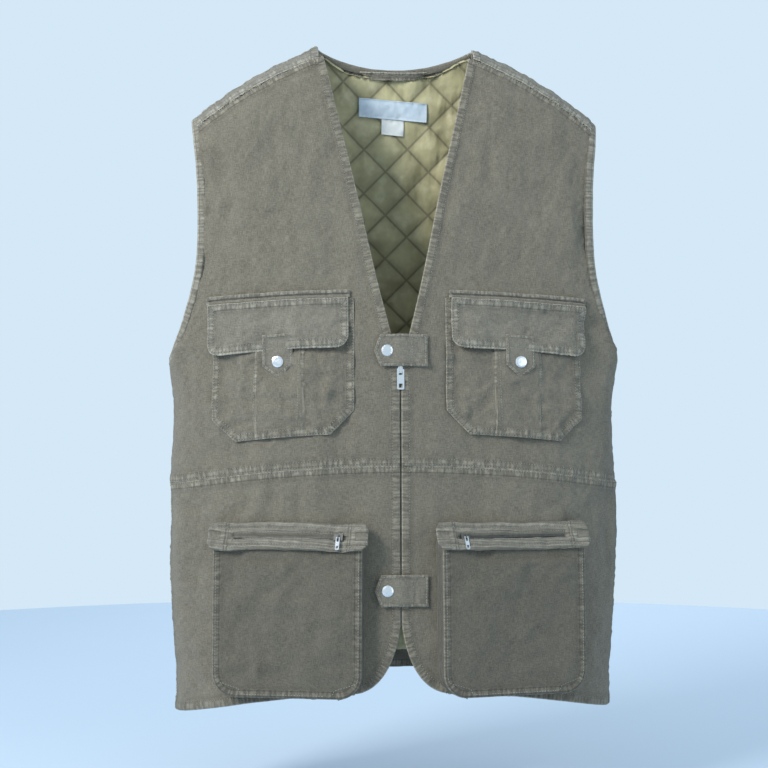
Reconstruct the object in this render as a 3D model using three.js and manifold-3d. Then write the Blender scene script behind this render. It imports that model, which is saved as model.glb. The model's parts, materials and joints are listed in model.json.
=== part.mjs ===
// Quilt-lined fishing vest, hanging empty and zipped up. Millimetres, +Z up, front facing -Y.
// The origin is where a hanger carries it: level with the neck points, on the centre line.
// "right" and "left" are the wearer's, so the right side has negative x.
import * as THREE from "three";
import { mergeVertices } from "three/addons/utils/BufferGeometryUtils.js";
import Module from "manifold-3d";

const wasm = await Module();
wasm.setup();

// ---- driving sizes of the garment ----
const neckHalf = 88; // neck point from the centre line
const neckDip = 18; // back neck edge below the neck points
const neckSlope = 0.36; // fall of the shoulder line at the neck point
const shoulderHalf = 233;
const shoulderDrop = 85;
const shoulderRound = 45; // height over which a shoulder rounds out to full depth
const armholeDepth = 270;
const armholeHollow = 7;
const chestHalf = 258;
const waistHalf = 253;
const hipHalf = 256;
const hemHalf = 248;
const yokeDrop = 150;
const waistDrop = 474;
const hipDrop = 560;
const hemDrop = 722;
const frontDepthTop = 24;
const frontDepthChest = 80;
const frontDepthHem = 96;
const backDepthTop = 26;
const backDepthChest = 66;
const backDepthHem = 80;
const chestDrop = 340; // where the depths reach their chest values
const dragStart = 120; // below this the sides hang lower than the middle
const dragRate = 0.045;
const dragSpan = 250;
const hemCorner = 48; // run of the rounded front corner along the hem
const hemCornerRise = 72;

// ---- cloth, in millimetres from the shell's outer face, outwards positive ----
const shellThick = 1.4;
const facingOuter = -4.0;
const facingThick = 1.4;
const liningOuter = -4.2;
const liningThick = 2.2;
const seamGap = 0.6; // between two panels that are sewn edge to edge
const layerGap = 0.6; // between two layers that lie on each other
const facingWidth = 30;
const stripDrop = 14; // front edge of the shoulder strip below the ridge
const liningHemLift = 22;

const bindingWidth = 10;
const bindingHalfThick = 3.2;
const neckBindingWidth = 9;
const neckBindingThick = 3.0;

// ---- front zip ----
const zipTop = 363;
const zipBottom = 633;
const placketHalf = 3.4; // panel edge from the centre line
const chainHalf = 3.0;
const chainGapHalf = 0.8;
const chainOuter = -1.7;
const chainThick = 2.2;
const tapeHalf = 14;
const tapeThick = 0.8;
const sliderHalf = 4.5;
const sliderLength = 15;
const plateThick = 1.1;
const sliderRide = 0.5; // clearance between slider and what it rides over
const archHalf = 0.7;
const archRise = 2.8;
const archBar = 1.0;
const pullWidth = 8;
const pullLength = 21;
const pullThick = 1.2;
const pullBarZ = 4.5; // pull's bar below the slider's centre
const sliderTravel = 261;
const boxLength = 12;

// ---- snaps ----
const snapCapRadius = 6.8;
const snapSocketRadius = 5.0;
const snapPostRadius = 1.6;
const snapKnobRadius = 1.9;
const snapClearance = 0.5;
const snapStack = 3.3; // height from a stud's base to the strap it closes
const strapThick = 1.2;

// ---- pockets ----
const chestPocket = { centre: 129, half: 78, top: 288, bottom: 438, cut: 26, thick: 1.0 };
const chestFlap = { centre: 134, half: 77, top: 288, bottom: 342, round: 12, thick: 1.6, lift: 2.2 };
const chestWelt = { rise: 8, thick: 1.4 };
const flapTab = { half: 16.5, above: 16, below: 17, point: 14, snapBelow: 13 };
const cargo = { centre: 122, half: 84, middle: 640, height: 160, round: 26, depth: 20, wall: 1.6 };
const band = { half: 88, height: 34, thick: 2.0, lip: 1.2, slotHalf: 2.4, topLift: 1.6 };
const cargoZipHalf = 62;
const cargoSlider = { length: 10, half: 4.2 };
const cargoPull = { width: 3.2, length: 15 };

// ---- closure straps ----
const strap = { half: 17.5, tip: 29, shoulder: 17, hinge: 9.8, patchStart: 12.2, patchEnd: 30 };
const strapHeights = { upper: 347, lower: 611 };
const strapSnapX = -15;
const strapOver = 5.0; // inner face over the slider
const strapAtHinge = 1.5;
const strapAtTip = 3.2;

// ---- inside the neck ----
const loop = { half: 40, slant: 11, height: 9, thick: 1.2, stand: 6.2, drop: 8 };
const label = { width: 80, height: 21, thick: 0.6, drop: 52 };
const tag = { width: 26, height: 17, thick: 0.6 };

// ---------------------------------------------------------------- body surface

// Smooth curve through [at, value] pairs in falling or rising order.
function through(pairs) {
  const rising = [...pairs].sort((a, b) => a[0] - b[0]);
  const slope = rising.map((p, i) => {
    const a = rising[Math.max(0, i - 1)];
    const b = rising[Math.min(rising.length - 1, i + 1)];
    return (b[1] - a[1]) / (b[0] - a[0]);
  });
  return (at) => {
    if (at <= rising[0][0]) return rising[0][1];
    if (at >= rising.at(-1)[0]) return rising.at(-1)[1];
    const i = rising.findIndex((p) => p[0] > at) - 1;
    const [a, b] = [rising[i], rising[i + 1]];
    const run = b[0] - a[0];
    const t = (at - a[0]) / run;
    const h = t * t * (3 - 2 * t);
    return a[1] * (1 - h) + b[1] * h + run * (slope[i] * t * (1 - t) ** 2 - slope[i + 1] * t * t * (1 - t));
  };
}

const outerSlopeRun = shoulderHalf - neckHalf;
const outerBend = (shoulderDrop - neckSlope * outerSlopeRun) / outerSlopeRun ** 2;
const tipSlope = neckSlope + 2 * outerBend * outerSlopeRun;

// Height of the shoulder ridge at x, carried on smoothly across the neck and past the tips.
function ridge(x) {
  const from = Math.abs(x) - neckHalf;
  if (from < 0) return (neckSlope / (2 * neckHalf)) * (neckHalf ** 2 - x * x);
  if (from < outerSlopeRun) return -neckSlope * from - outerBend * from * from;
  return -shoulderDrop - tipSlope * (from - outerSlopeRun);
}

const sideRidge = ridge(chestHalf);
const armpit = shoulderDrop + armholeDepth;
const bodyHalf = through([
  [-armholeDepth / 2, chestHalf + 3],
  [-armpit, chestHalf],
  [-(armpit + waistDrop) / 2, waistHalf],
  [-hipDrop, hipHalf],
  [-hemDrop, hemHalf],
]);
const upperFront = through([[0, frontDepthTop], [-chestDrop * 0.3, 42], [-chestDrop * 0.65, 62], [-chestDrop, frontDepthChest]]);
const frontSlope = (frontDepthHem - frontDepthChest) / (hemDrop - chestDrop);
const frontDepth = (z) => (z < -chestDrop ? frontDepthChest + (-chestDrop - z) * frontSlope : upperFront(z));
const backDepth = through([
  [0, backDepthTop],
  [-chestDrop * 0.4, 52],
  [-chestDrop, backDepthChest],
  [-hemDrop, backDepthHem],
]);

// A point of the shell: phi turns from the right side (-90) to the left (90), and u is the root of
// the drop below the shoulder ridge, positive in front and negative behind.
function shell(phi, u) {
  const drop = u * u;
  const x = bodyHalf(sideRidge - drop) * Math.sin(phi);
  const z = ridge(x) - drop;
  const out = drop < shoulderRound ? Math.sqrt(1 - (1 - drop / shoulderRound) ** 2) : 1;
  const depth = (u > 0 ? frontDepth(z) : backDepth(z)) * Math.cos(phi) * out;
  return new THREE.Vector3(x, u > 0 ? -depth : depth, z);
}

function normalAt(phi, u) {
  const e = 1e-3;
  const across = shell(phi + e, u).sub(shell(phi - e, u));
  const down = shell(phi, u + 20 * e).sub(shell(phi, u - 20 * e));
  return down.cross(across).normalize();
}

// [phi, u] of the shell at x and height z.
function at(x, z, front = true) {
  const drop = Math.max(ridge(x) - z, 0);
  const half = bodyHalf(sideRidge - drop);
  const u = Math.sqrt(drop);
  return [Math.asin(THREE.MathUtils.clamp(x / half, -1, 1)), front ? u : -u];
}

// The sides hang lower than the middle.
function drag(x, z) {
  const rate = dragRate * THREE.MathUtils.smoothstep(-z, dragStart, 2.5 * dragStart);
  return z + rate * z * (x / dragSpan) ** 2;
}

const on = (x, z, front = true) => at(x, drag(x, z), front);
const sideAt = (side, z, front) => {
  const gap = seamGap / 2 / frontDepthChest;
  const u = Math.sqrt(sideRidge - drag(chestHalf, z));
  return [side * (Math.PI / 2 - gap), front ? u : -u];
};

// ---------------------------------------------------------------- solids

// Turns a closed geometry the right way out.
function facingOut(geometry) {
  const g = geometry.index ? geometry.toNonIndexed() : geometry.clone();
  g.deleteAttribute("normal");
  g.deleteAttribute("uv");
  const p = g.getAttribute("position");
  const [a, b, c] = [new THREE.Vector3(), new THREE.Vector3(), new THREE.Vector3()];
  let volume = 0;
  for (let i = 0; i < p.count; i += 3) {
    a.fromBufferAttribute(p, i);
    b.fromBufferAttribute(p, i + 1);
    c.fromBufferAttribute(p, i + 2);
    volume += a.dot(b.cross(c));
  }
  const merged = mergeVertices(g, 1e-3);
  if (volume < 0) merged.index.array.reverse();
  return merged;
}

function toSolid(geometry) {
  const g = facingOut(geometry);
  return new wasm.Manifold(
    new wasm.Mesh({
      numProp: 3,
      vertProperties: new Float32Array(g.attributes.position.array),
      triVerts: new Uint32Array(g.index.array),
    }),
  );
}

function toGeometry(solid) {
  const mesh = solid.getMesh();
  return new THREE.BufferGeometry()
    .setAttribute("position", new THREE.BufferAttribute(new Float32Array(mesh.vertProperties), 3))
    .setIndex(new THREE.BufferAttribute(new Uint32Array(mesh.triVerts), 1));
}

const join = (...parts) => toGeometry(parts.map(toSolid).reduce((a, b) => a.add(b)));
const cut = (from, ...tools) => toGeometry(tools.map(toSolid).reduce((a, b) => a.subtract(b), toSolid(from)));

// The sheet's corner-to-corner filling of four edges, in [phi, u].
function filled({ left, right, bottom, top }, s, t) {
  const [l, r, b, o] = [left(t), right(t), bottom(s), top(s)];
  const [bl, br, tl, tr] = [left(0), right(0), left(1), right(1)];
  return [0, 1].map(
    (k) =>
      (1 - s) * l[k] + s * r[k] + (1 - t) * b[k] + t * o[k] -
      ((1 - s) * (1 - t) * bl[k] + s * (1 - t) * br[k] + (1 - s) * t * tl[k] + s * t * tr[k]),
  );
}

// A sheet between two heights over the shell; a height may be a function of (s, t).
function sheet(edges, inner, outer, across, up) {
  const geometry = new THREE.BoxGeometry(1, 1, 1, across, 1, up);
  const p = geometry.getAttribute("position");
  for (let i = 0; i < p.count; i++) {
    const [s, t] = [p.getX(i) + 0.5, p.getZ(i) + 0.5];
    const [phi, u] = filled(edges, s, t);
    const side = p.getY(i) < 0 ? outer : inner;
    const height = typeof side === "function" ? side(s, t) : side;
    const q = shell(phi, u).addScaledVector(normalAt(phi, u), height);
    p.setXYZ(i, q.x, q.y, q.z);
  }
  return geometry;
}

// The frame of the shell at a place: x across, y into the body, z up.
function frameAt(x, z, lift = 0) {
  const [phi, u] = on(x, z);
  const n = normalAt(phi, u);
  const group = new THREE.Group();
  const across = new THREE.Vector3(0, 0, 1).cross(n).normalize();
  const up = across.clone().cross(n.clone().negate()).normalize();
  group.matrix.makeBasis(across, n.clone().negate(), up);
  group.matrix.setPosition(shell(phi, u).addScaledVector(n, lift));
  group.matrix.decompose(group.position, group.quaternion, group.scale);
  return group;
}

function box(x0, x1, y0, y1, z0, z1) {
  return new THREE.BoxGeometry(x1 - x0, y1 - y0, z1 - z0).translate((x0 + x1) / 2, (y0 + y1) / 2, (z0 + z1) / 2);
}

// An outline in x and z, standing from y0 to y1.
function slab(shape, y0, y1, curveSegments = 5) {
  return new THREE.ExtrudeGeometry(shape, { depth: y1 - y0, bevelEnabled: false, curveSegments })
    .rotateX(Math.PI / 2)
    .translate(0, y1, 0);
}

// A turned piece whose axis stands out of the cloth, from [radius, height] pairs.
function turned(pairs, x = 0, z = 0, segments = 14) {
  const points = pairs.map(([r, h]) => new THREE.Vector2(r, h));
  return new THREE.LatheGeometry(points, segments).scale(1, -1, 1).translate(x, 0, z);
}

// ---------------------------------------------------------------- materials

const material = (color, roughness, metalness = 0) => new THREE.MeshStandardMaterial({ color, roughness, metalness });
const cloth = material(0x77766b, 0.95);
const paleCloth = material(0x8b8c82, 0.95);
const satin = material(0x777c58, 0.45);
const steel = material(0xb9bec4, 0.35, 0.9);
const zipMetal = material(0x8f8f88, 0.45, 0.8);
const tapeCloth = material(0x5f5d50, 0.9);
const white = material(0xd9dde0, 0.7);

const vest = new THREE.Group();

function add(name, geometry, finish, parent = vest) {
  const g = facingOut(geometry);
  g.computeVertexNormals();
  const mesh = new THREE.Mesh(g, finish);
  mesh.name = name;
  parent.add(mesh);
  return mesh;
}

const sides = [[-1, "right"], [1, "left"]];
const axisX = new THREE.Vector3(1, 0, 0);
const axisY = new THREE.Vector3(0, 1, 0);
const axisZ = new THREE.Vector3(0, 0, 1);

const between = (a, b) => (s) => [THREE.MathUtils.lerp(a[0], b[0], s), THREE.MathUtils.lerp(a[1], b[1], s)];

// Edges seen from outside, left to right, for either side of the garment.
function sided(side, inner, outer, bottom, top) {
  const flip = ([phi, u]) => [side * phi, u];
  if (side > 0) return { left: inner, right: outer, bottom, top };
  return {
    left: (t) => flip(outer(t)),
    right: (t) => flip(inner(t)),
    bottom: (s) => flip(bottom(1 - s)),
    top: (s) => flip(top(1 - s)),
  };
}

// ---------------------------------------------------------------- shell panels

const point = (x, y) => new THREE.Vector2(x, y);
const armholeLine = new THREE.SplineCurve([
  point(shoulderHalf, -shoulderDrop),
  point(shoulderHalf - armholeHollow, -shoulderDrop - 0.28 * armholeDepth),
  point(shoulderHalf - armholeHollow + 1, -shoulderDrop - 0.6 * armholeDepth),
  point(shoulderHalf + 0.3 * (chestHalf - shoulderHalf), -shoulderDrop - 0.82 * armholeDepth),
  point(shoulderHalf + 0.68 * (chestHalf - shoulderHalf), -shoulderDrop - 0.92 * armholeDepth),
  point(chestHalf - 1, -armpit + 3),
]);
const neckLine = new THREE.SplineCurve([
  point(neckHalf, 0),
  point(neckHalf * 0.82, -zipTop * 0.19),
  point(neckHalf * 0.56, -zipTop * 0.46),
  point(neckHalf * 0.3, -zipTop * 0.75),
  point(placketHalf, -zipTop),
]);

// A line moved inwards by a distance, kept on its own side of the body.
function inset(line, t, by) {
  const p = line.getPoint(t);
  const d = line.getTangent(t);
  return point(p.x + d.y * by, p.y - d.x * by);
}

// The armhole on the left side: down the front from the shoulder, under the arm and up the back.
function armholeRing(turn) {
  const front = turn < 0.5;
  const share = front ? 2 * turn : 2 - 2 * turn;
  const p = armholeLine.getPoint(share + 0.03 * Math.sin(share * Math.PI));
  return at(p.x, Math.min(p.y, ridge(p.x) - 0.02), front);
}

// Place, edgeward direction and normal at a turn round a closed line on the shell.
function ringFrame(place, turn) {
  const here = place(turn);
  const along = shell(...place((turn + 0.004) % 1)).sub(shell(...place((turn + 0.996) % 1))).normalize();
  const n = normalAt(...here);
  return { here: shell(...here), edgeward: n.clone().cross(along).normalize(), n };
}

const armholeInset = bindingWidth + 3 * seamGap;
const corner = 0.75; // share of a panel's height above the armpit
const underarmEase = 1.5; // closer rows where the armhole turns under the arm

// The cloth's edge inside the armhole binding: 0 under the arm, 1 at the shoulder.
function armholeEdge(share, front, by = armholeInset) {
  const turn = front ? 0.5 - share / 2 : 0.5 + share / 2;
  const { here, edgeward } = ringFrame(armholeRing, Math.min(turn, 0.9999));
  const p = here.addScaledVector(edgeward, -by);
  return at(p.x, Math.min(p.z, ridge(p.x) - 0.02), front);
}

// A level edge from x = start out to the side seam, in even turns round the body.
function levelEdge(start, z, front) {
  const end = sideAt(1, z, front)[0];
  const from = on(start, z, front)[0];
  return (s) => {
    if (s === 1) return sideAt(1, z, front);
    const x = bodyHalf(z) * Math.sin(THREE.MathUtils.lerp(from, end, s));
    return on(x, z, front);
  };
}
const waistEdge = (start, gap, front) => levelEdge(start, -waistDrop + gap, front);

// Outer edge of a panel from the waist up: the side seam, then the armhole.
function outerEdge(front, topAt = 1, from = -waistDrop + seamGap / 2, low = 1 - corner, by = armholeInset) {
  return (t) => {
    if (t < low) return sideAt(1, THREE.MathUtils.lerp(from, -armpit - by, t / low), front);
    return armholeEdge(topAt * ((t - low) / (1 - low)) ** underarmEase, front, by);
  };
}

function frontEdgeX(t) {
  if (t < 1 - corner) return point(placketHalf, THREE.MathUtils.lerp(-waistDrop + seamGap / 2, -zipTop, t / (1 - corner)));
  return neckLine.getPoint(1 - (t - 1 + corner) / corner);
}

function frontUpper(side) {
  const topInner = neckLine.getPoint(0);
  const clip = (p) => at(p.x, Math.min(p.y, ridge(p.x) - stripDrop - seamGap));
  const outer = (t) => {
    const edge = outerEdge(true)(t);
    const least = Math.sqrt(stripDrop + seamGap);
    return [edge[0], Math.max(edge[1], least)];
  };
  const top = (s) => {
    const x = topInner.x + (shoulderHalf - armholeInset - topInner.x) * s;
    return at(x, ridge(x) - stripDrop - seamGap);
  };
  const fixed = { inner: (t) => clip(frontEdgeX(t)), outer };
  const start = (t) => (t < 1 ? fixed.outer(t) : top(1));
  const first = (t) => (t < 1 ? fixed.inner(t) : top(0));
  return sided(side, first, start, waistEdge(placketHalf, seamGap / 2, true), top);
}

const cornerCurve = new THREE.CubicBezierCurve(
  point(placketHalf + hemCorner, -hemDrop),
  point(placketHalf + hemCorner * 0.45, -hemDrop),
  point(placketHalf + 3, -hemDrop + hemCornerRise * 0.4),
  point(placketHalf, -hemDrop + hemCornerRise),
);
const lowerCorner = 0.4;

function frontLower(side) {
  const inner = (t) => {
    if (t < lowerCorner) {
      const p = cornerCurve.getPoint(t / lowerCorner);
      return on(p.x, p.y);
    }
    const share = (t - lowerCorner) / (1 - lowerCorner);
    return on(placketHalf, THREE.MathUtils.lerp(-hemDrop + hemCornerRise, -waistDrop - seamGap / 2, share));
  };
  const outer = (t) => sideAt(1, THREE.MathUtils.lerp(-hemDrop, -waistDrop - seamGap / 2, t), true);
  return sided(side, inner, outer, levelEdge(placketHalf + hemCorner, -hemDrop, true), waistEdge(placketHalf, -seamGap / 2, true));
}

// Mirrors a half's outer edge into the two side edges of a whole back panel.
function backPanel(outer, bottom, top) {
  return { left: (t) => [-outer(t)[0], outer(t)[1]], right: outer, bottom, top };
}

// Depth of the neck binding at x, narrowing to nothing much at the neck points.
function neckBindingDepth(x) {
  return neckBindingWidth * THREE.MathUtils.smoothstep(neckHalf - Math.abs(x), -4, 40);
}
const neckEdge = (x) => -neckDip * (1 - (x / neckHalf) ** 2);

const neckShare = 0.25; // of the back's width taken by each shoulder
function backTop(gapBelow) {
  return (s) => {
    const half = shoulderHalf - armholeInset;
    if (s < neckShare || s > 1 - neckShare) {
      const run = s < neckShare ? s / neckShare : (1 - s) / neckShare;
      const x = THREE.MathUtils.lerp(half, neckHalf, run);
      return [Math.asin((s < 0.5 ? -x : x) / bodyHalf(sideRidge)), -Math.sqrt(gapBelow)];
    }
    const x = THREE.MathUtils.mapLinear(s, neckShare, 1 - neckShare, -neckHalf, neckHalf);
    return at(x, neckEdge(x) - neckBindingDepth(x) - seamGap - gapBelow, false);
  };
}

const ridgeGap = 0.01;

// Share of the armhole's edge, counted from under the arm, at which the yoke seam meets it.
function yokeMeets(gap) {
  let [low, high] = [0, 1];
  for (let i = 0; i < 30; i++) {
    const middle = (low + high) / 2;
    const p = shell(...armholeEdge(middle, false));
    if (p.z < drag(p.x, -yokeDrop + gap)) low = middle;
    else high = middle;
  }
  return low;
}

function yokeLine(gap) {
  const end = armholeEdge(yokeMeets(gap), false);
  const half = shell(...end).x;
  return (s) => {
    if (s === 0) return [-end[0], end[1]];
    return s === 1 ? end : on((2 * s - 1) * half, -yokeDrop + gap, false);
  };
}

const yokeAbove = yokeMeets(seamGap / 2);
const yokeTop = backTop(ridgeGap);
const yoke = backPanel(
  (t) => (t === 1 ? yokeTop(1) : armholeEdge(THREE.MathUtils.lerp(yokeAbove, 1, t), false)),
  yokeLine(seamGap / 2),
  yokeTop,
);

const upperBack = backPanel(
  outerEdge(false, yokeMeets(-seamGap / 2)),
  (s) => {
    const [phi, u] = waistEdge(0, seamGap / 2, false)(Math.abs(2 * s - 1));
    return [s < 0.5 ? -phi : phi, u];
  },
  yokeLine(-seamGap / 2),
);

const lowerBack = backPanel(
  (t) => sideAt(1, THREE.MathUtils.lerp(-hemDrop, -waistDrop - seamGap / 2, t), false),
  (s) => {
    const [phi, u] = levelEdge(0, -hemDrop, false)(Math.abs(2 * s - 1));
    return [s < 0.5 ? -phi : phi, u];
  },
  (s) => {
    const [phi, u] = waistEdge(0, -seamGap / 2, false)(Math.abs(2 * s - 1));
    return [s < 0.5 ? -phi : phi, u];
  },
);

add("back_yoke", sheet(yoke, -shellThick, 0, 20, 10), cloth);
add("back_upper", sheet(upperBack, -shellThick, 0, 18, 12), cloth);
add("back_lower", sheet(lowerBack, -shellThick, 0, 18, 6), cloth);

for (const [side, name] of sides) {
  add(`${name}_front_upper`, sheet(frontUpper(side), -shellThick, 0, 14, 20), cloth);
  add(`${name}_front_lower`, sheet(frontLower(side), -shellThick, 0, 14, 10), cloth);

  // The strip that carries the yoke over the shoulder to the front.
  const strip = (x, drop) => [Math.asin(x / bodyHalf(sideRidge)), Math.sqrt(drop)];
  const stripEdges = sided(
    side,
    (t) => strip(neckHalf, THREE.MathUtils.lerp(stripDrop, ridgeGap, t)),
    (t) => strip(shoulderHalf - armholeInset, THREE.MathUtils.lerp(stripDrop, ridgeGap, t)),
    (s) => strip(THREE.MathUtils.lerp(neckHalf, shoulderHalf - armholeInset, s), stripDrop),
    (s) => strip(THREE.MathUtils.lerp(neckHalf, shoulderHalf - armholeInset, s), ridgeGap),
  );
  add(`${name}_shoulder_strip`, sheet(stripEdges, -shellThick, 0, 12, 4), paleCloth);
}

// ---------------------------------------------------------------- lining and facings

const facingFrom = 7; // facing edge from the centre line beside the zip, clear of the slider
const facingTurn = 0.4; // share of a facing's rows below the zip top
function facingPath(t, by) {
  if (t < facingTurn) {
    const z = THREE.MathUtils.lerp(-hemDrop + hemCornerRise, -zipTop, t / facingTurn);
    return on(facingFrom + by, z);
  }
  const share = (t - facingTurn) / (1 - facingTurn);
  const p = inset(neckLine, 1 - share, -by - (facingFrom - placketHalf) * (1 - share));
  return at(p.x, Math.min(p.y, ridge(p.x) - 6));
}

for (const [side, name] of sides) {
  const facing = sided(
    side,
    (t) => facingPath(t, 0),
    (t) => facingPath(t, facingWidth),
    (s) => on(facingFrom + facingWidth * s, -hemDrop + hemCornerRise),
    between(facingPath(1, 0), facingPath(1, facingWidth)),
  );
  add(`${name}_front_facing`, sheet(facing, facingOuter - facingThick, facingOuter, 2, 30), paleCloth);

  const liningFrom = facingWidth + 2 * layerGap;
  const liningFoot = -hemDrop + liningHemLift + hemCornerRise;
  const armpitEdge = outerEdge(true, 1, liningFoot, facingTurn, armholeInset + 2);
  const liningOuterEdge = (t) => {
    const [phi, u] = armpitEdge(t);
    return [Math.min(phi, Math.PI / 2 - 0.03), Math.max(u, Math.sqrt(stripDrop / 2))];
  };
  const lining = sided(
    side,
    (t) => facingPath(t, liningFrom),
    liningOuterEdge,
    between(facingPath(0, liningFrom), liningOuterEdge(0)),
    between(facingPath(1, liningFrom), liningOuterEdge(1)),
  );
  add(`${name}_front_lining`, sheet(lining, liningOuter - liningThick, liningOuter, 12, 20), satin);
}

const liningTopGap = 22;
const liningSide = outerEdge(false, 1, -hemDrop + liningHemLift, 0.5, armholeInset + 2);
const backLiningSide = (t) => {
  const [phi, u] = liningSide(t);
  return [Math.min(phi, Math.PI / 2 - 0.03), Math.min(u, -Math.sqrt(liningTopGap))];
};
const backLining = backPanel(
  backLiningSide,
  (s) => {
    const [phi, u] = backLiningSide(0);
    const x = bodyHalf(-hemDrop) * Math.sin((2 * s - 1) * phi);
    return s % 1 === 0 ? [(2 * s - 1) * phi, u] : on(x, -hemDrop + liningHemLift, false);
  },
  (s) => {
    const [phi, u] = backLiningSide(1);
    if (s < neckShare || s > 1 - neckShare) {
      const run = s < neckShare ? s / neckShare : (1 - s) / neckShare;
      const inner = Math.asin((neckHalf + 2) / bodyHalf(sideRidge));
      return [(s < 0.5 ? -1 : 1) * THREE.MathUtils.lerp(phi, inner, run), u];
    }
    const x = THREE.MathUtils.mapLinear(s, neckShare, 1 - neckShare, -neckHalf - 2, neckHalf + 2);
    return at(x, neckEdge(x) - neckBindingDepth(x) - liningTopGap, false);
  },
);
add("back_lining", sheet(backLining, liningOuter - liningThick, liningOuter, 20, 24), satin);

// ---------------------------------------------------------------- bindings

// A flat closed cord of cloth swept round a ring of [phi, u] places, set in from the edge.
function boundRing(place, width, halfThick, steps) {
  const geometry = new THREE.TorusGeometry(4, 1, 8, steps);
  const p = geometry.getAttribute("position");
  for (let i = 0; i < p.count; i++) {
    const turn = (Math.atan2(p.getY(i), p.getX(i)) / (2 * Math.PI) + 1) % 1;
    const out = Math.hypot(p.getX(i), p.getY(i)) - 4;
    const { here, edgeward, n } = ringFrame(place, turn);
    const q = here
      .addScaledVector(edgeward, ((out - 1) * width) / 2)
      .addScaledVector(n, p.getZ(i) * halfThick - (shellThick + liningThick) / 2);
    p.setXYZ(i, q.x, q.y, q.z);
  }
  return geometry;
}

for (const [side, name] of sides) {
  const ring = boundRing(armholeRing, bindingWidth, bindingHalfThick, 52);
  add(`${name}_armhole_binding`, side > 0 ? ring : ring.scale(-1, 1, 1), paleCloth);
}

const neckBindingAt = (s, share) => {
  const x = (2 * s - 1) * (neckHalf - 1);
  return at(x, neckEdge(x) - ridgeGap - neckBindingDepth(x) * share, false);
};
add(
  "back_neck_binding",
  sheet(
    {
      left: (t) => neckBindingAt(0, 1 - t),
      right: (t) => neckBindingAt(1, 1 - t),
      bottom: (s) => neckBindingAt(s, 1),
      top: (s) => neckBindingAt(s, 0),
    },
    -neckBindingThick,
    layerGap,
    10,
    1,
  ),
  paleCloth,
);

// ---------------------------------------------------------------- inside the neck

// A flat piece lying inside the back, hung between two heights.
function insideBack(width, top, height, inner, outer, slant = 0, across = 8) {
  const x = (s, t) => (2 * s - 1) * (width / 2 - slant * (1 - t));
  const place = (s, t) => at(x(s, t), -top - height * (1 - t), false);
  return sheet(
    { left: (t) => place(0, t), right: (t) => place(1, t), bottom: (s) => place(s, 0), top: (s) => place(s, 1) },
    inner,
    outer,
    across,
    2,
  );
}

const liningInner = liningOuter - liningThick;
const loopInner = (s) => liningInner - layerGap - loop.thick - loop.stand * Math.sin(Math.PI * s) ** 0.6;
add(
  "hanger_loop",
  insideBack(
    loop.half * 2,
    neckDip + 1,
    loop.height,
    loopInner,
    (s) => loopInner(s) + loop.thick,
    loop.slant,
    12,
  ),
  paleCloth,
);
const labelInner = liningInner - 2 * layerGap - label.thick;
add("neck_label", insideBack(label.width, label.drop, label.height, labelInner, labelInner + label.thick), white);
add(
  "size_tag",
  insideBack(tag.width, label.drop + label.height + 1, tag.height, labelInner, labelInner + tag.thick, 0, 3),
  white,
);

// ---------------------------------------------------------------- chest pockets

// A patch shape on the shell: top corners square, lower corners rounded or cut.
function patchEdges(centre, half, top, bottom, corner, cutAcross) {
  const side = (sign) => (t) => {
    const turn = 0.28;
    if (t > turn) return on(centre + sign * half, THREE.MathUtils.lerp(bottom + corner, top, (t - turn) / (1 - turn)));
    const share = t / turn;
    const [a, b] = cutAcross
      ? [1 - share, 1 - share]
      : [1 - Math.sin((share * Math.PI) / 2), 1 - (1 - Math.cos((share * Math.PI) / 2))];
    return on(centre + sign * (half - corner * a), bottom + corner * (1 - b));
  };
  return {
    left: side(-1),
    right: side(1),
    bottom: (s) => on(centre + (2 * s - 1) * (half - corner), bottom),
    top: (s) => on(centre + (2 * s - 1) * half, top),
  };
}

const pocketOuter = layerGap + chestPocket.thick;
const flapInner = chestFlap.lift;
const flapOuter = flapInner + chestFlap.thick;
const tabInner = pocketOuter + snapClearance + snapStack;
const tabHinge = chestFlap.bottom; // the tab is free below the flap's edge

function snapPair(prefix, frame, base, holder) {
  const knobTop = base + 2.2;
  add(
    `${prefix}_snap_stud`,
    turned([[0, base], [snapSocketRadius, base], [snapSocketRadius, base + 0.8], [1.5, base + 0.9], [1.5, base + 1.3],
      [snapKnobRadius, base + 1.7], [1.2, knobTop], [0, knobTop]]),
    steel,
    frame,
  );
  const socketFrom = base + 1.2;
  const socketTo = base + snapStack - 0.3;
  const bore = snapKnobRadius + snapClearance;
  add(
    `${prefix}_snap_socket`,
    turned([[0, knobTop + 0.3], [bore, knobTop + 0.3], [bore, socketFrom], [snapSocketRadius, socketFrom],
      [snapSocketRadius - 0.3, socketTo], [0, socketTo]]),
    steel,
    holder,
  );
  const capBase = base + snapStack + strapThick + 0.3;
  add(
    `${prefix}_snap_cap`,
    turned([[0, socketTo + 0.3], [snapPostRadius, socketTo + 0.3], [snapPostRadius, capBase], [snapCapRadius - 0.4, capBase],
      [snapCapRadius, capBase + 0.4], [snapCapRadius - 0.5, capBase + 1.0], [snapCapRadius - 2.2, capBase + 1.5], [0, capBase + 1.7]]),
    steel,
    holder,
  );
}

const postHole = (frame, height, reach = 6) => {
  frame.updateMatrixWorld(true);
  return turned([[0, height - reach], [snapPostRadius + snapClearance, height - reach],
    [snapPostRadius + snapClearance, height + reach], [0, height + reach]], 0, 0, 12).applyMatrix4(frame.matrixWorld);
};

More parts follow.
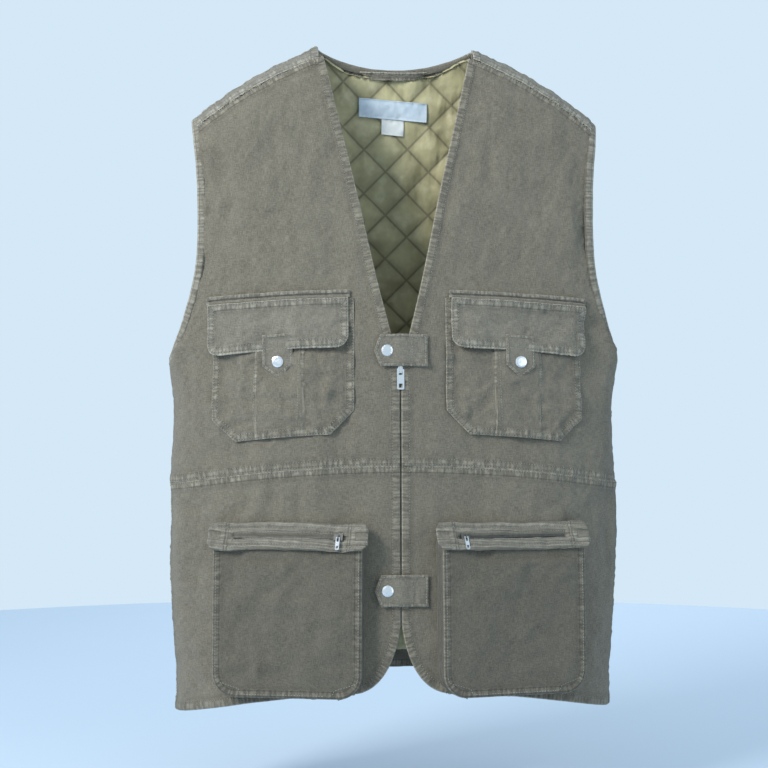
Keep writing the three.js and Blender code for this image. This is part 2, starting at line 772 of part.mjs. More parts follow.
for (const [side, name] of sides) {
  const c = side * chestPocket.centre;
  const p = chestPocket;
  add(
    `${name}_chest_pocket`,
    sheet(patchEdges(c, p.half, -p.top, -p.bottom, p.cut, true), layerGap, pocketOuter, 12, 12),
    cloth,
  );
  const f = side * chestFlap.centre;
  const flapEdges = patchEdges(f, chestFlap.half, -chestFlap.top, -chestFlap.bottom, chestFlap.round, false);
  add(`${name}_chest_flap`, sheet(flapEdges, flapInner, flapOuter, 12, 8), paleCloth);

  const weltLow = -chestFlap.top + seamGap;
  const weltEdges = {
    left: (t) => on(f - chestFlap.half, weltLow + chestWelt.rise * t),
    right: (t) => on(f + chestFlap.half, weltLow + chestWelt.rise * t),
    bottom: (s) => on(f + (2 * s - 1) * chestFlap.half, weltLow),
    top: (s) => on(f + (2 * s - 1) * chestFlap.half, weltLow + chestWelt.rise),
  };
  add(`${name}_chest_welt`, sheet(weltEdges, layerGap, layerGap + chestWelt.thick, 12, 1), paleCloth);

  // The tab is sewn on the flap above its edge and hangs past it to the snap.
  const snapZ = -(tabHinge + flapTab.snapBelow);
  const tabTop = -tabHinge + flapTab.above;
  const tabLow = -tabHinge - flapTab.below;
  const tabX = (s) => f + (2 * s - 1) * flapTab.half;
  const tabEdges = {
    left: (t) => on(tabX(0), THREE.MathUtils.lerp(tabLow, tabTop, t)),
    right: (t) => on(tabX(1), THREE.MathUtils.lerp(tabLow, tabTop, t)),
    bottom: (s) => on(tabX(s), tabLow - flapTab.point * (1 - Math.abs(2 * s - 1))),
    top: (s) => on(tabX(s), tabTop),
  };
  const frame = frameAt(f, snapZ);
  vest.add(frame);
  const tab = sheet(tabEdges, tabInner, tabInner + strapThick, 4, 6);
  add(`${name}_chest_tab`, cut(tab, postHole(frame, tabInner)), paleCloth);
  snapPair(`${name}_chest`, frame, pocketOuter + snapClearance, frame);
}

// ---------------------------------------------------------------- front zip

const zipFrame = new THREE.Group();
const zipTilt = Math.atan(frontSlope);
zipFrame.position.copy(shell(...at(0, -zipTop)));
zipFrame.rotation.x = -zipTilt;
vest.add(zipFrame);
const zipLength = (zipBottom - zipTop) / Math.cos(zipTilt);
const chainInner = chainOuter - chainThick;

for (const [side, name] of sides) {
  const tapeMiddle = (chainOuter + chainInner) / 2 - 0.2;
  const outline = new THREE.Shape([
    point(side * chainGapHalf, -chainInner),
    point(side * chainGapHalf, -chainOuter),
    point(side * chainHalf, -chainOuter),
    point(side * chainHalf, -tapeMiddle - tapeThick / 2),
    point(side * tapeHalf, -tapeMiddle - tapeThick / 2),
    point(side * tapeHalf, -tapeMiddle + tapeThick / 2),
    point(side * chainHalf, -tapeMiddle + tapeThick / 2),
    point(side * chainHalf, -chainInner),
  ]);
  const tape = new THREE.ExtrudeGeometry(outline, { depth: zipLength, bevelEnabled: false }).translate(0, 0, -zipLength);
  add(`${name}_zip_tape`, tape, tapeCloth, zipFrame);
}
add(
  "zip_box",
  box(-chainHalf, chainHalf, -chainOuter - 0.8, -chainInner + 0.8, -zipLength - boxLength - 0.4, -zipLength - 0.4),
  zipMetal,
  zipFrame,
);

// An arch over a bar, standing on a plate: a stirrup in the plane of travel.
function arch(base, z0, z1, half, rise, thick) {
  const outline = new THREE.Shape([point(z0, base), point(z0, base + rise), point(z1, base + rise), point(z1, base),
    point(z1 - thick, base), point(z1 - thick, base + rise - thick), point(z0 + thick, base + rise - thick), point(z0 + thick, base)]);
  return new THREE.ExtrudeGeometry(outline, { depth: half * 2, bevelEnabled: false })
    .translate(0, 0, -half)
    .applyMatrix4(new THREE.Matrix4().makeBasis(new THREE.Vector3(0, 0, 1), new THREE.Vector3(0, -1, 0), new THREE.Vector3(1, 0, 0)));
}

// A shield-shaped plate, wide at the top, between two depths.
function shieldPlate(half, length, y0, y1) {
  const outline = new THREE.Shape([point(-half, length * 0.5), point(-half, -length * 0.1), point(-half * 0.72, -length * 0.5),
    point(half * 0.72, -length * 0.5), point(half, -length * 0.1), point(half, length * 0.5)]);
  return slab(outline, y0, y1);
}

const frontSlider = new THREE.Group();
frontSlider.position.z = -sliderLength * 0.5 + 6;
zipFrame.add(frontSlider);
const topPlateInner = -sliderRide;
const topPlateOuter = topPlateInner - plateThick;
const underPlate = -chainInner + sliderRide;
const sliderWidthGap = chainGapHalf - 0.3;
add(
  "front_zip_slider",
  join(
    shieldPlate(sliderHalf, sliderLength, topPlateOuter, topPlateInner),
    shieldPlate(sliderHalf, sliderLength, underPlate, underPlate + plateThick),
    box(-sliderWidthGap, sliderWidthGap, topPlateInner - 0.2, underPlate + 0.2, -2, sliderLength * 0.45),
    arch(-topPlateOuter - 0.1, -pullBarZ - 2.6, 5, archHalf, archRise + 0.1, archBar),
  ),
  steel,
  frontSlider,
);

// A pull whose top bar lies under an arch, with a window at its foot.
function pullPlate(width, length, thick, windowLength) {
  const outline = new THREE.Shape([point(-width / 2, -length + 1), point(-width / 2 + 1, -length), point(width / 2 - 1, -length),
    point(width / 2, -length + 1), point(width / 2, 0.6), point(-width / 2, 0.6)]);
  const rail = Math.min(2, width * 0.24);
  const hole = (z0, z1) => box(-width / 2 + rail, width / 2 - rail, -thick, thick, z0, z1);
  return cut(slab(outline, -thick / 2, thick / 2), hole(-0.6 - 4.2, -0.6), hole(-length + 2, -length + 2 + windowLength));
}

const frontPull = new THREE.Group();
const barLift = topPlateOuter - 0.3 - pullThick / 2;
frontPull.position.set(0, barLift, -pullBarZ - 0.2);
frontSlider.add(frontPull);
add("front_zip_pull", pullPlate(pullWidth, pullLength, pullThick, 4.5), steel, frontPull);

// ---------------------------------------------------------------- closure straps

// Height of a strap's inner face over the cloth, by x: up over the slider, down to the snap.
const strapHeight = through([
  [-strap.tip, strapAtTip],
  [strapSnapX - 6.5, layerGap + snapStack],
  [strapSnapX, layerGap + snapStack],
  [strapSnapX + 6.5, layerGap + snapStack],
  [-3, strapOver],
  [2, strapOver],
  [strap.hinge * 0.62, strapOver - 1.4],
  [strap.hinge, strapAtHinge],
]);

for (const [name, middle] of Object.entries(strapHeights)) {
  const xAt = (s) => THREE.MathUtils.lerp(-strap.shoulder - 6, strap.hinge, s);
  const point3 = (x, t) => on(x, -middle + (2 * t - 1) * strap.half);
  const tipX = (t) => -strap.tip + Math.abs(2 * t - 1) * (strap.tip - strap.shoulder - 6);
  const edges = {
    left: (t) => point3(tipX(t), t),
    right: (t) => point3(strap.hinge, t),
    bottom: (s) => point3(xAt(s), 0),
    top: (s) => point3(xAt(s), 1),
  };
  const heightAt = (s, t) => {
    const [phi] = filled(edges, s, t);
    return strapHeight(bodyHalf(-middle) * Math.sin(phi));
  };
  const frame = frameAt(strapSnapX, -middle);
  vest.add(frame);
  const tab = sheet(edges, heightAt, (s, t) => heightAt(s, t) + strapThick, 12, 4);
  add(`${name}_strap`, cut(tab, postHole(frame, strapHeight(strapSnapX))), paleCloth);
  snapPair(`${name}_strap`, frame, layerGap, frame);
  const patch = {
    left: (t) => point3(strap.patchStart, t),
    right: (t) => point3(strap.patchEnd, t),
    bottom: (s) => point3(THREE.MathUtils.lerp(strap.patchStart, strap.patchEnd, s), 0),
    top: (s) => point3(THREE.MathUtils.lerp(strap.patchStart, strap.patchEnd, s), 1),
  };
  add(`${name}_strap_patch`, sheet(patch, layerGap, layerGap + strapThick, 3, 2), paleCloth);
}

// ---------------------------------------------------------------- cargo pockets

// Everything on a cargo pocket is flat, in a frame standing on the shell at the pocket's middle.
const bodyCoreEdges = (side) => {
  const [x0, x1] = side > 0 ? [12, hipHalf - 6] : [-hipHalf + 6, -12];
  const [z0, z1] = [-cargo.middle - cargo.height / 2 - 40, -cargo.middle + cargo.height / 2 + 60];
  return {
    left: (t) => at(x0, THREE.MathUtils.lerp(z0, z1, t)),
    right: (t) => at(x1, THREE.MathUtils.lerp(z0, z1, t)),
    bottom: (s) => at(THREE.MathUtils.lerp(x0, x1, s), z0),
    top: (s) => at(THREE.MathUtils.lerp(x0, x1, s), z1),
  };
};

function roundedFoot(half, low, high, radius) {
  const shape = new THREE.Shape();
  shape.moveTo(-half, high);
  shape.lineTo(-half, low + radius);
  shape.absarc(-half + radius, low + radius, radius, Math.PI, Math.PI * 1.5, false);
  shape.lineTo(half - radius, low);
  shape.absarc(half - radius, low + radius, radius, Math.PI * 1.5, Math.PI * 2, false);
  shape.lineTo(half, high);
  return shape;
}

for (const [side, name] of sides) {
  const frame = frameAt(side * cargo.centre, -cargo.middle);
  vest.add(frame);
  frame.updateMatrixWorld(true);
  const back = new THREE.Matrix4().copy(frame.matrixWorld).invert();
  const core = sheet(bodyCoreEdges(side), -30, layerGap, 22, 16).applyMatrix4(back);
  const [low, high] = [-cargo.height / 2, cargo.height / 2];
  const inside = { half: cargo.half - cargo.wall, low: low + cargo.wall, round: cargo.round - cargo.wall };
  const bag = cut(
    slab(roundedFoot(cargo.half, low, high, cargo.round), -cargo.depth, 14, 5),
    slab(roundedFoot(inside.half, inside.low, high + 5, inside.round), -cargo.depth + cargo.wall, 20, 5),
    core,
  );
  add(`${name}_cargo_pocket`, bag, cloth, frame);

  // The band leans from the panel out to the bag's front edge, and holds the zip in its slot.
  const lean = Math.atan2(cargo.depth + band.lip + band.thick - band.topLift - band.thick, band.height);
  const bandGroup = new THREE.Group();
  bandGroup.position.set(0, -cargo.depth - band.lip - band.thick, high + 0.5);
  bandGroup.rotation.x = lean * -1;
  frame.add(bandGroup);
  const plate = box(-band.half, band.half, 0, band.thick, 0, band.height);
  const slotZ = band.height * 0.5;
  const slot = box(-cargoZipHalf - 4, cargoZipHalf + 4, -1, band.thick + 1, slotZ - band.slotHalf, slotZ + band.slotHalf);
  add(`${name}_cargo_band`, cut(plate, slot), paleCloth, bandGroup);

  // The two rows of the zip, held together by a stop at each end.
  const rowStart = 0.5;
  const rowGap = 0.45;
  const rowHalf = 2.1;
  const tapeReach = 8;
  const row = (sign) => {
    const z = (d) => slotZ + sign * d;
    const outline = new THREE.Shape([point(rowStart, z(rowGap)), point(band.thick + 1.3, z(rowGap)),
      point(band.thick + 1.3, z(tapeReach)), point(band.thick + 0.6, z(tapeReach)),
      point(band.thick + 0.6, z(rowHalf)), point(rowStart, z(rowHalf))]);
    const turn = new THREE.Matrix4().makeBasis(axisY, axisZ, axisX);
    return new THREE.ExtrudeGeometry(outline, { depth: cargoZipHalf * 2, bevelEnabled: false })
      .applyMatrix4(turn)
      .translate(-cargoZipHalf, 0, 0);
  };
  const stop = (x) => box(x - 0.8, x + 0.8, rowStart, band.thick + 1.3, slotZ - rowHalf, slotZ + rowHalf);
  add(
    `${name}_cargo_zip`,
    join(row(1), row(-1), stop(-cargoZipHalf + 0.7), stop(cargoZipHalf - 0.7)),
    zipMetal,
    bandGroup,
  );

  const runner = new THREE.Group();
  runner.position.set(-side * (cargoZipHalf - cargoSlider.length / 2 - 1), 0, slotZ);
  bandGroup.add(runner);
  const half = cargoSlider.length / 2;
  const plateLow = -sliderRide - 0.9;
  add(
    `${name}_cargo_slider`,
    join(
      box(-half, half, plateLow, -sliderRide, -cargoSlider.half, cargoSlider.half),
      box(-half + 1, half - 1, plateLow, band.thick + 1.9, -0.2, 0.2),
      box(-half, half, band.thick + 1.7, band.thick + 2.5, -cargoSlider.half, cargoSlider.half),
      box(-0.6, 0.6, plateLow - 2.2, plateLow + 0.1, -3.6, -2.8),
      box(-0.6, 0.6, plateLow - 2.2, plateLow + 0.1, 1.4, 2.2),
      box(-0.6, 0.6, plateLow - 3.0, plateLow - 2.1, -3.6, 2.2),
    ),
    steel,
    runner,
  );
  const dangle = new THREE.Group();
  dangle.position.set(0, plateLow - 1.1, -1.6);
  dangle.rotation.x = 0;
  runner.add(dangle);
  add(`${name}_cargo_pull`, pullPlate(cargoPull.width + 1.2, cargoPull.length, 0.9, 3), steel, dangle);
}

export default vest;
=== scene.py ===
import json
import math

import bmesh
import bpy
import numpy as np
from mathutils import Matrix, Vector
from mathutils.kdtree import KDTree


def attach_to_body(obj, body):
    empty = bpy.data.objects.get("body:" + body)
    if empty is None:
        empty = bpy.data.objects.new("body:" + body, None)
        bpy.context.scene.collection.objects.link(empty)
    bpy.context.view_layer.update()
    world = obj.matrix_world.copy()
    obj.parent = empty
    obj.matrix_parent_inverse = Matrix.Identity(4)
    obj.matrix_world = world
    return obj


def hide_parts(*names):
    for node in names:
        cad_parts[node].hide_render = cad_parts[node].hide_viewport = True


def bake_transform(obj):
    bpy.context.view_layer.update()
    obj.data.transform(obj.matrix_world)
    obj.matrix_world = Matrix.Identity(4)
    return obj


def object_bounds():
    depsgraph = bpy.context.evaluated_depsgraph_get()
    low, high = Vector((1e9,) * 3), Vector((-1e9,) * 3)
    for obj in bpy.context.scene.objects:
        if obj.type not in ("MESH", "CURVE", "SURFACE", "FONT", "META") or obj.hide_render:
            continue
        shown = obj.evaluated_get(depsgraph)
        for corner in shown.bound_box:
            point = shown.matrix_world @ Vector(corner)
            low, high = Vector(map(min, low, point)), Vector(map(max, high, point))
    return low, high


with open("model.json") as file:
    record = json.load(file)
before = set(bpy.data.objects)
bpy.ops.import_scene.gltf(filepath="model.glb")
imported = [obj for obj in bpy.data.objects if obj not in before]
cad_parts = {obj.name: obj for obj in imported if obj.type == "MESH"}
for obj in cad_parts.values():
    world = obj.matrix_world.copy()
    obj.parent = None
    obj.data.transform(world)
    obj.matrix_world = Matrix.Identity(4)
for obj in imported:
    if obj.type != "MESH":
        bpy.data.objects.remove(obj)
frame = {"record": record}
cadLow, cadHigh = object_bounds()

# Sizes below are in millimetres unless a name says otherwise; x is towards the wearer's left,
# z is up from the neck points, and the front faces -y.

cut = {
    "neckHalf": 88, "neckDip": 18, "neckSlope": 0.36,
    "shoulderHalf": 233, "shoulderDrop": 85, "shoulderRound": 45,
    "armholeDepth": 270, "armholeHollow": 7,
    "chestHalf": 258, "waistHalf": 253, "hipHalf": 256, "hemHalf": 248,
    "yokeDrop": 150, "waistDrop": 474, "hipDrop": 560, "hemDrop": 722,
    "frontDepths": (24, 42, 62, 80, 96), "backDepths": (26, 52, 66, 80), "chestDrop": 340,
    "dragStart": 120, "dragRate": 0.045, "dragSpan": 250,
    "zipTop": 363, "zipBottom": 633, "placketHalf": 3.4,
    "hemCorner": 48, "hemCornerRise": 72,
    "stripDrop": 14, "bindingWidth": 10,
}
armpit = cut["shoulderDrop"] + cut["armholeDepth"]
rng = np.random.default_rng(41)


def smoothstep(x, low, high):
    t = np.clip((np.asarray(x, float) - low) / (high - low), 0, 1)
    return t * t * (3 - 2 * t)


def bump(distance, width):
    return np.exp(-((distance / width) ** 2))


# the shape the cloth hangs in

def through(pairs):
    pairs = sorted(pairs)
    xs = np.array([p[0] for p in pairs], float)
    ys = np.array([p[1] for p in pairs], float)
    index = np.arange(len(xs))
    before, after = np.maximum(index - 1, 0), np.minimum(index + 1, len(xs) - 1)
    slope = (ys[after] - ys[before]) / (xs[after] - xs[before])

    def at(x):
        x = np.clip(x, xs[0], xs[-1])
        i = np.clip(np.searchsorted(xs, x, side="right") - 1, 0, len(xs) - 2)
        run = xs[i + 1] - xs[i]
        t = (x - xs[i]) / run
        h = t * t * (3 - 2 * t)
        ease = slope[i] * t * (1 - t) ** 2 - slope[i + 1] * t * t * (1 - t)
        return ys[i] * (1 - h) + ys[i + 1] * h + run * ease

    return at


slopeRun = cut["shoulderHalf"] - cut["neckHalf"]
shoulderBend = (cut["shoulderDrop"] - cut["neckSlope"] * slopeRun) / slopeRun**2


def ridge(x):
    out = np.abs(x) - cut["neckHalf"]
    neck = cut["neckSlope"] / (2 * cut["neckHalf"]) * (cut["neckHalf"] ** 2 - np.square(x))
    shoulder = -cut["neckSlope"] * out - shoulderBend * out * out
    past = -cut["shoulderDrop"] - (cut["neckSlope"] + 2 * shoulderBend * slopeRun) * (out - slopeRun)
    return np.where(out < 0, neck, np.where(out < slopeRun, shoulder, past))


sideRidge = float(ridge(cut["chestHalf"]))
bodyHalf = through([
    (-cut["armholeDepth"] / 2, cut["chestHalf"] + 3), (-armpit, cut["chestHalf"]),
    (-(armpit + cut["waistDrop"]) / 2, cut["waistHalf"]), (-cut["hipDrop"], cut["hipHalf"]),
    (-cut["hemDrop"], cut["hemHalf"]),
])
fd, bd, chestDrop = cut["frontDepths"], cut["backDepths"], cut["chestDrop"]
upperFront = through([(0, fd[0]), (-0.3 * chestDrop, fd[1]), (-0.65 * chestDrop, fd[2]), (-chestDrop, fd[3])])
frontSlope = (fd[4] - fd[3]) / (cut["hemDrop"] - chestDrop)
backDepth = through([(0, bd[0]), (-0.4 * chestDrop, bd[1]), (-chestDrop, bd[2]), (-cut["hemDrop"], bd[3])])


def frontDepth(z):
    return np.where(z < -chestDrop, fd[3] + (-chestDrop - z) * frontSlope, upperFront(z))


def shell(phi, u):
    drop = u * u
    x = bodyHalf(sideRidge - drop) * np.sin(phi)
    z = ridge(x) - drop
    over = 1 - np.clip(drop / cut["shoulderRound"], 0, 1)
    depth = np.where(u > 0, frontDepth(z), backDepth(z)) * np.cos(phi) * np.sqrt(1 - over**2)
    return np.stack([x, np.where(u > 0, -depth, depth), z], axis=-1)


def unit(v):
    return v / np.maximum(np.linalg.norm(v, axis=-1, keepdims=True), 1e-9)


def normalAt(phi, u):
    e = 1e-3
    across = shell(phi + e, u) - shell(phi - e, u)
    down = shell(phi, u + 20 * e) - shell(phi, u - 20 * e)
    return unit(np.cross(down, across))


def at(x, z, front=True):
    drop = np.maximum(ridge(x) - z, 0)
    u = np.sqrt(drop)
    phi = np.arcsin(np.clip(x / bodyHalf(sideRidge - drop), -1, 1))
    return np.stack(np.broadcast_arrays(phi, u if front else -u), axis=-1)


def drag(x, z):
    rate = cut["dragRate"] * smoothstep(-np.asarray(z, float), cut["dragStart"], 2.5 * cut["dragStart"])
    return z + rate * z * (np.asarray(x) / cut["dragSpan"]) ** 2


def on(x, z, front=True):
    return at(x, drag(x, z), front)


def sideAt(side, z, front):
    u = math.sqrt(sideRidge - float(drag(cut["chestHalf"], z)))
    return np.array([side * math.pi / 2, u if front else -u])


def spline(points):
    pts = np.array(points, float)

    def getPoint(t):
        p = (len(pts) - 1) * min(max(t, 0), 1)
        i = min(int(p), len(pts) - 2)
        w = p - i
        p0, p1, p2 = pts[max(i - 1, 0)], pts[i], pts[i + 1]
        p3 = pts[min(i + 2, len(pts) - 1)]
        v0, v1 = (p2 - p0) * 0.5, (p3 - p1) * 0.5
        return (2 * p1 - 2 * p2 + v0 + v1) * w**3 + (-3 * p1 + 3 * p2 - 2 * v0 - v1) * w * w + v0 * w + p1

    return getPoint


sh, sd, ad, ah = cut["shoulderHalf"], cut["shoulderDrop"], cut["armholeDepth"], cut["armholeHollow"]
flare = cut["chestHalf"] - sh
armholeLine = spline([
    (sh, -sd), (sh - ah, -sd - 0.28 * ad), (sh - ah + 1, -sd - 0.6 * ad), (sh + 0.3 * flare, -sd - 0.82 * ad),
    (sh + 0.68 * flare, -sd - 0.92 * ad), (cut["chestHalf"] - 1, -armpit + 3),
])
nh, zt = cut["neckHalf"], cut["zipTop"]
neckLine = spline([
    (nh, 0), (nh * 0.82, -zt * 0.19), (nh * 0.56, -zt * 0.46), (nh * 0.3, -zt * 0.75),
    (cut["placketHalf"], -zt),
])


def inset(line, t, by):
    tangent = unit(line(min(t + 0.004, 1)) - line(max(t - 0.004, 0)))
    return line(t) + by * np.array([tangent[1], -tangent[0]])


def armholeRing(turn):
    front = turn < 0.5
    share = 2 * turn if front else 2 - 2 * turn
    p = armholeLine(share + 0.03 * math.sin(share * math.pi))
    return at(p[0], min(p[1], float(ridge(p[0])) - 0.02), front)


def ringFrame(place, turn):
    here = place(turn)
    after, before = place((turn + 0.004) % 1), place((turn + 0.996) % 1)
    along = unit(shell(after[0], after[1]) - shell(before[0], before[1]))
    n = normalAt(here[0], here[1])
    return shell(here[0], here[1]), unit(np.cross(n, along)), n, along


def armholeEdge(share, front, by):
    turn = min(0.5 - share / 2 if front else 0.5 + share / 2, 0.9999)
    here, edgeward, n, along = ringFrame(armholeRing, turn)
    p = here - by * edgeward
    return at(p[0], min(p[2], float(ridge(p[0])) - 0.02), front)


def levelEdge(start, z, front, side=1):
    end, begin = sideAt(1, z, front)[0], on(start, z, front)[0]

    def edge(s):
        if s >= 1:
            return sideAt(side, z, front) * 1.0
        x = float(bodyHalf(z)) * math.sin(begin + (end - begin) * s)
        return on(side * x, z, front)

    return edge


def outerEdge(front, topAt=1.0, start=None, low=0.25, by=None):
    start = -cut["waistDrop"] if start is None else start
    by = cut["bindingWidth"] - 2 if by is None else by

    foot, armpitEnd = sideAt(1, start, front), armholeEdge(0, front, by)

    def edge(t):
        if t < low:
            drop = foot[1] ** 2 + (armpitEnd[1] ** 2 - foot[1] ** 2) * t / low
            return np.array([math.pi / 2, math.copysign(math.sqrt(drop), foot[1])])
        share = topAt * ((t - low) / (1 - low)) ** 0.8
        phi, u = armholeEdge(share, front, by)
        return np.array([math.pi / 2 + (phi - math.pi / 2) * float(smoothstep(share, 0, 0.09)), u])

    return edge


def filled(edges, s, t):
    left, right = np.array([edges[0](v) for v in t]), np.array([edges[1](v) for v in t])
    bottom, top = np.array([edges[2](v) for v in s]), np.array([edges[3](v) for v in s])
    s, t = s[None, :, None], t[:, None, None]
    corners = (1 - s) * (1 - t) * left[0] + s * (1 - t) * right[0] + (1 - s) * t * left[-1] + s * t * right[-1]
    return (1 - s) * left[:, None] + s * right[:, None] + (1 - t) * bottom[None] + t * top[None] - corners


def mirrored(edges):
    flip = np.array([-1, 1])
    left, right, bottom, top = edges
    return (lambda t: right(t) * flip, lambda t: left(t) * flip,
            lambda s: bottom(1 - s) * flip, lambda s: top(1 - s) * flip)


# folds that run through every layer

lattice = rng.random((64, 64)) * 2 - 1


def softNoise(x, y, seed=0):
    x, y = np.broadcast_arrays(np.asarray(x, float) + 17.3 * seed, np.asarray(y, float) + 5.1 * seed)
    i, j = np.floor(x).astype(int), np.floor(y).astype(int)
    a, b = x - i, y - j
    a, b = a * a * (3 - 2 * a), b * b * (3 - 2 * b)
    i, j = i % 64, j % 64
    i1, j1 = (i + 1) % 64, (j + 1) % 64
    return (lattice[i, j] * (1 - a) * (1 - b) + lattice[i1, j] * a * (1 - b)
            + lattice[i, j1] * (1 - a) * b + lattice[i1, j1] * a * b)


drape = {
    "broad": 3.6,       # height of the big soft folds
    "vertical": 3.0,    # columns running down from the shoulders
    "crumple": 2.3,    # creases a hand's width apart
    "fine": 0.6,       # washed-in wrinkles
}


# where sewn pieces press the folds flat: distances from the middle and down from the neck points
pressed = {"straps": (347, 611), "tab": (134, 357), "flapTop": 291, "bag": (122, 640)}


def folds(x, z, front):
    seed = 0 if front else 7
    side = np.abs(x)
    broad = drape["broad"] * softNoise(x / 95, z / 170, seed + 1)
    columns = drape["vertical"] * softNoise(x / 26, z / 260, seed + 2) * smoothstep(-z, 30, 160)
    bend = softNoise(x / 60, z / 60, seed + 3)
    crumple = drape["crumple"] * softNoise(x / 19 + bend, z / 34, seed + 4)
    fine = drape["fine"] * (softNoise(x / 7 + bend, z / 11, seed + 5) + softNoise(x / 4.2, z / 4.6, seed + 6))
    creased = 0.9 * np.abs(softNoise(x / 48 + 0.5 * bend, z / 70, seed + 8)) ** 0.5 - 0.5
    height = broad + columns + crumple + fine + creased
    if front:
        height = height * (0.25 + 0.75 * smoothstep(side, 4, 60))       # held flat along the zip
        upper, lower = pressed["straps"]
        strap = np.maximum(bump(z + upper, 26), bump(z + lower, 26)) * bump(x + 2, 34)
        snap = 1 - smoothstep(np.hypot(side - pressed["tab"][0], z + pressed["tab"][1]), 14, 36)
        flapTop = bump(z + pressed["flapTop"], 16) * bump(side - pressed["tab"][0], 95)
        pocket = bump(z + pressed["bag"][1], 95) * bump(side - pressed["bag"][0], 95)
        height = height * (1 - 0.93 * strap) * (1 - 0.95 * snap) * (1 - 0.6 * flapTop)
        height = (height - 2.2 * pocket * smoothstep(-z, 540, 580)) * (1 - 0.7 * pocket)
    # both sides of a side seam follow one wave, so the seam stays closed
    away = smoothstep(bodyHalf(z) - side, 0, 11)
    seamWave = 1.4 * softNoise(z / 62, 5 + 2 * np.sign(x), 9)
    height = height * away + seamWave * (1 - away)
    return height * smoothstep(np.abs(ridge(x) - z), 2, 60)


# making pieces of cloth

def arcAcross(phi, front):
    # length along a level line round the body, so a weave keeps its scale at the side seams
    steps = np.linspace(-math.pi / 2, math.pi / 2, 361)
    depth = fd[3] if front else bd[2]
    rate = np.hypot(cut["chestHalf"] * np.cos(steps), depth * np.sin(steps))
    length = np.cumsum(rate) * (steps[1] - steps[0])
    return np.interp(phi, steps, length)


def spaced(length, step, edges=(0, 0.7, 1.8, 3.4, 5.4)):
    count = max(2, int(round((length - 2 * edges[-1]) / step)) + 1)
    middle = np.linspace(edges[-1], length - edges[-1], count)
    ends = np.array(edges[:-1])
    return np.concatenate([ends, middle, length - ends[::-1]]) / length


def edgeField(points, line):
    # distance to an edge, and how far along the edge its nearest point is
    seg = np.concatenate([[0], np.cumsum(np.linalg.norm(np.diff(line, axis=0), axis=1))])
    along = np.arange(0, seg[-1], 0.6)
    fine = np.stack([np.interp(along, seg, line[:, k]) for k in range(3)], axis=1)
    tree = KDTree(len(fine))
    for i, p in enumerate(fine):
        tree.insert(p, i)
    tree.balance()
    flat = points.reshape(-1, 3)
    found = np.array([tree.find(p)[1:] for p in flat])
    return found[:, 1].reshape(points.shape[:2]), along[found[:, 0].astype(int)].reshape(points.shape[:2])


def makeGrid(name, place, fields, uv, outward=None, weld=False):
    # a flat grid bent so that each of its points lies at place[row, column], in mm
    up, across = place.shape[:2]
    mesh = bmesh.new()
    bmesh.ops.create_grid(mesh, x_segments=across - 1, y_segments=up - 1, size=0.5)
    uvLayer = mesh.loops.layers.uv.new("UVMap")
    layers = {key: mesh.verts.layers.float.new(key) for key in fields}
    spots = {}
    for v in mesh.verts:
        spot = round((v.co.y + 0.5) * (up - 1)), round((v.co.x + 0.5) * (across - 1))
        spots[v] = spot
        v.co = place[spot] / 1000
        for key, layer in layers.items():
            v[layer] = fields[key][spot]
    for face in mesh.faces:
        for loop in face.loops:
            spot = spots[loop.vert]
            loop[uvLayer].uv = uv[0][spot], uv[1][spot]
    if weld:
        bmesh.ops.remove_doubles(mesh, verts=mesh.verts, dist=1e-6)
        bmesh.ops.dissolve_degenerate(mesh, edges=mesh.edges, dist=1e-7)
        bmesh.ops.recalc_face_normals(mesh, faces=mesh.faces)
    elif outward is not None:
        middle = mesh.faces[:][len(mesh.faces) // 2]
        middle.normal_update()
        if middle.normal.dot(Vector(outward)) < 0:
            bmesh.ops.reverse_faces(mesh, faces=mesh.faces)
    made = bpy.data.meshes.new(name)
    mesh.to_mesh(made)
    mesh.free()
    return made


stitchPaths = {}
stitching = {"pitch": 3.1, "length": 2.3, "width": 0.62, "height": 0.5}


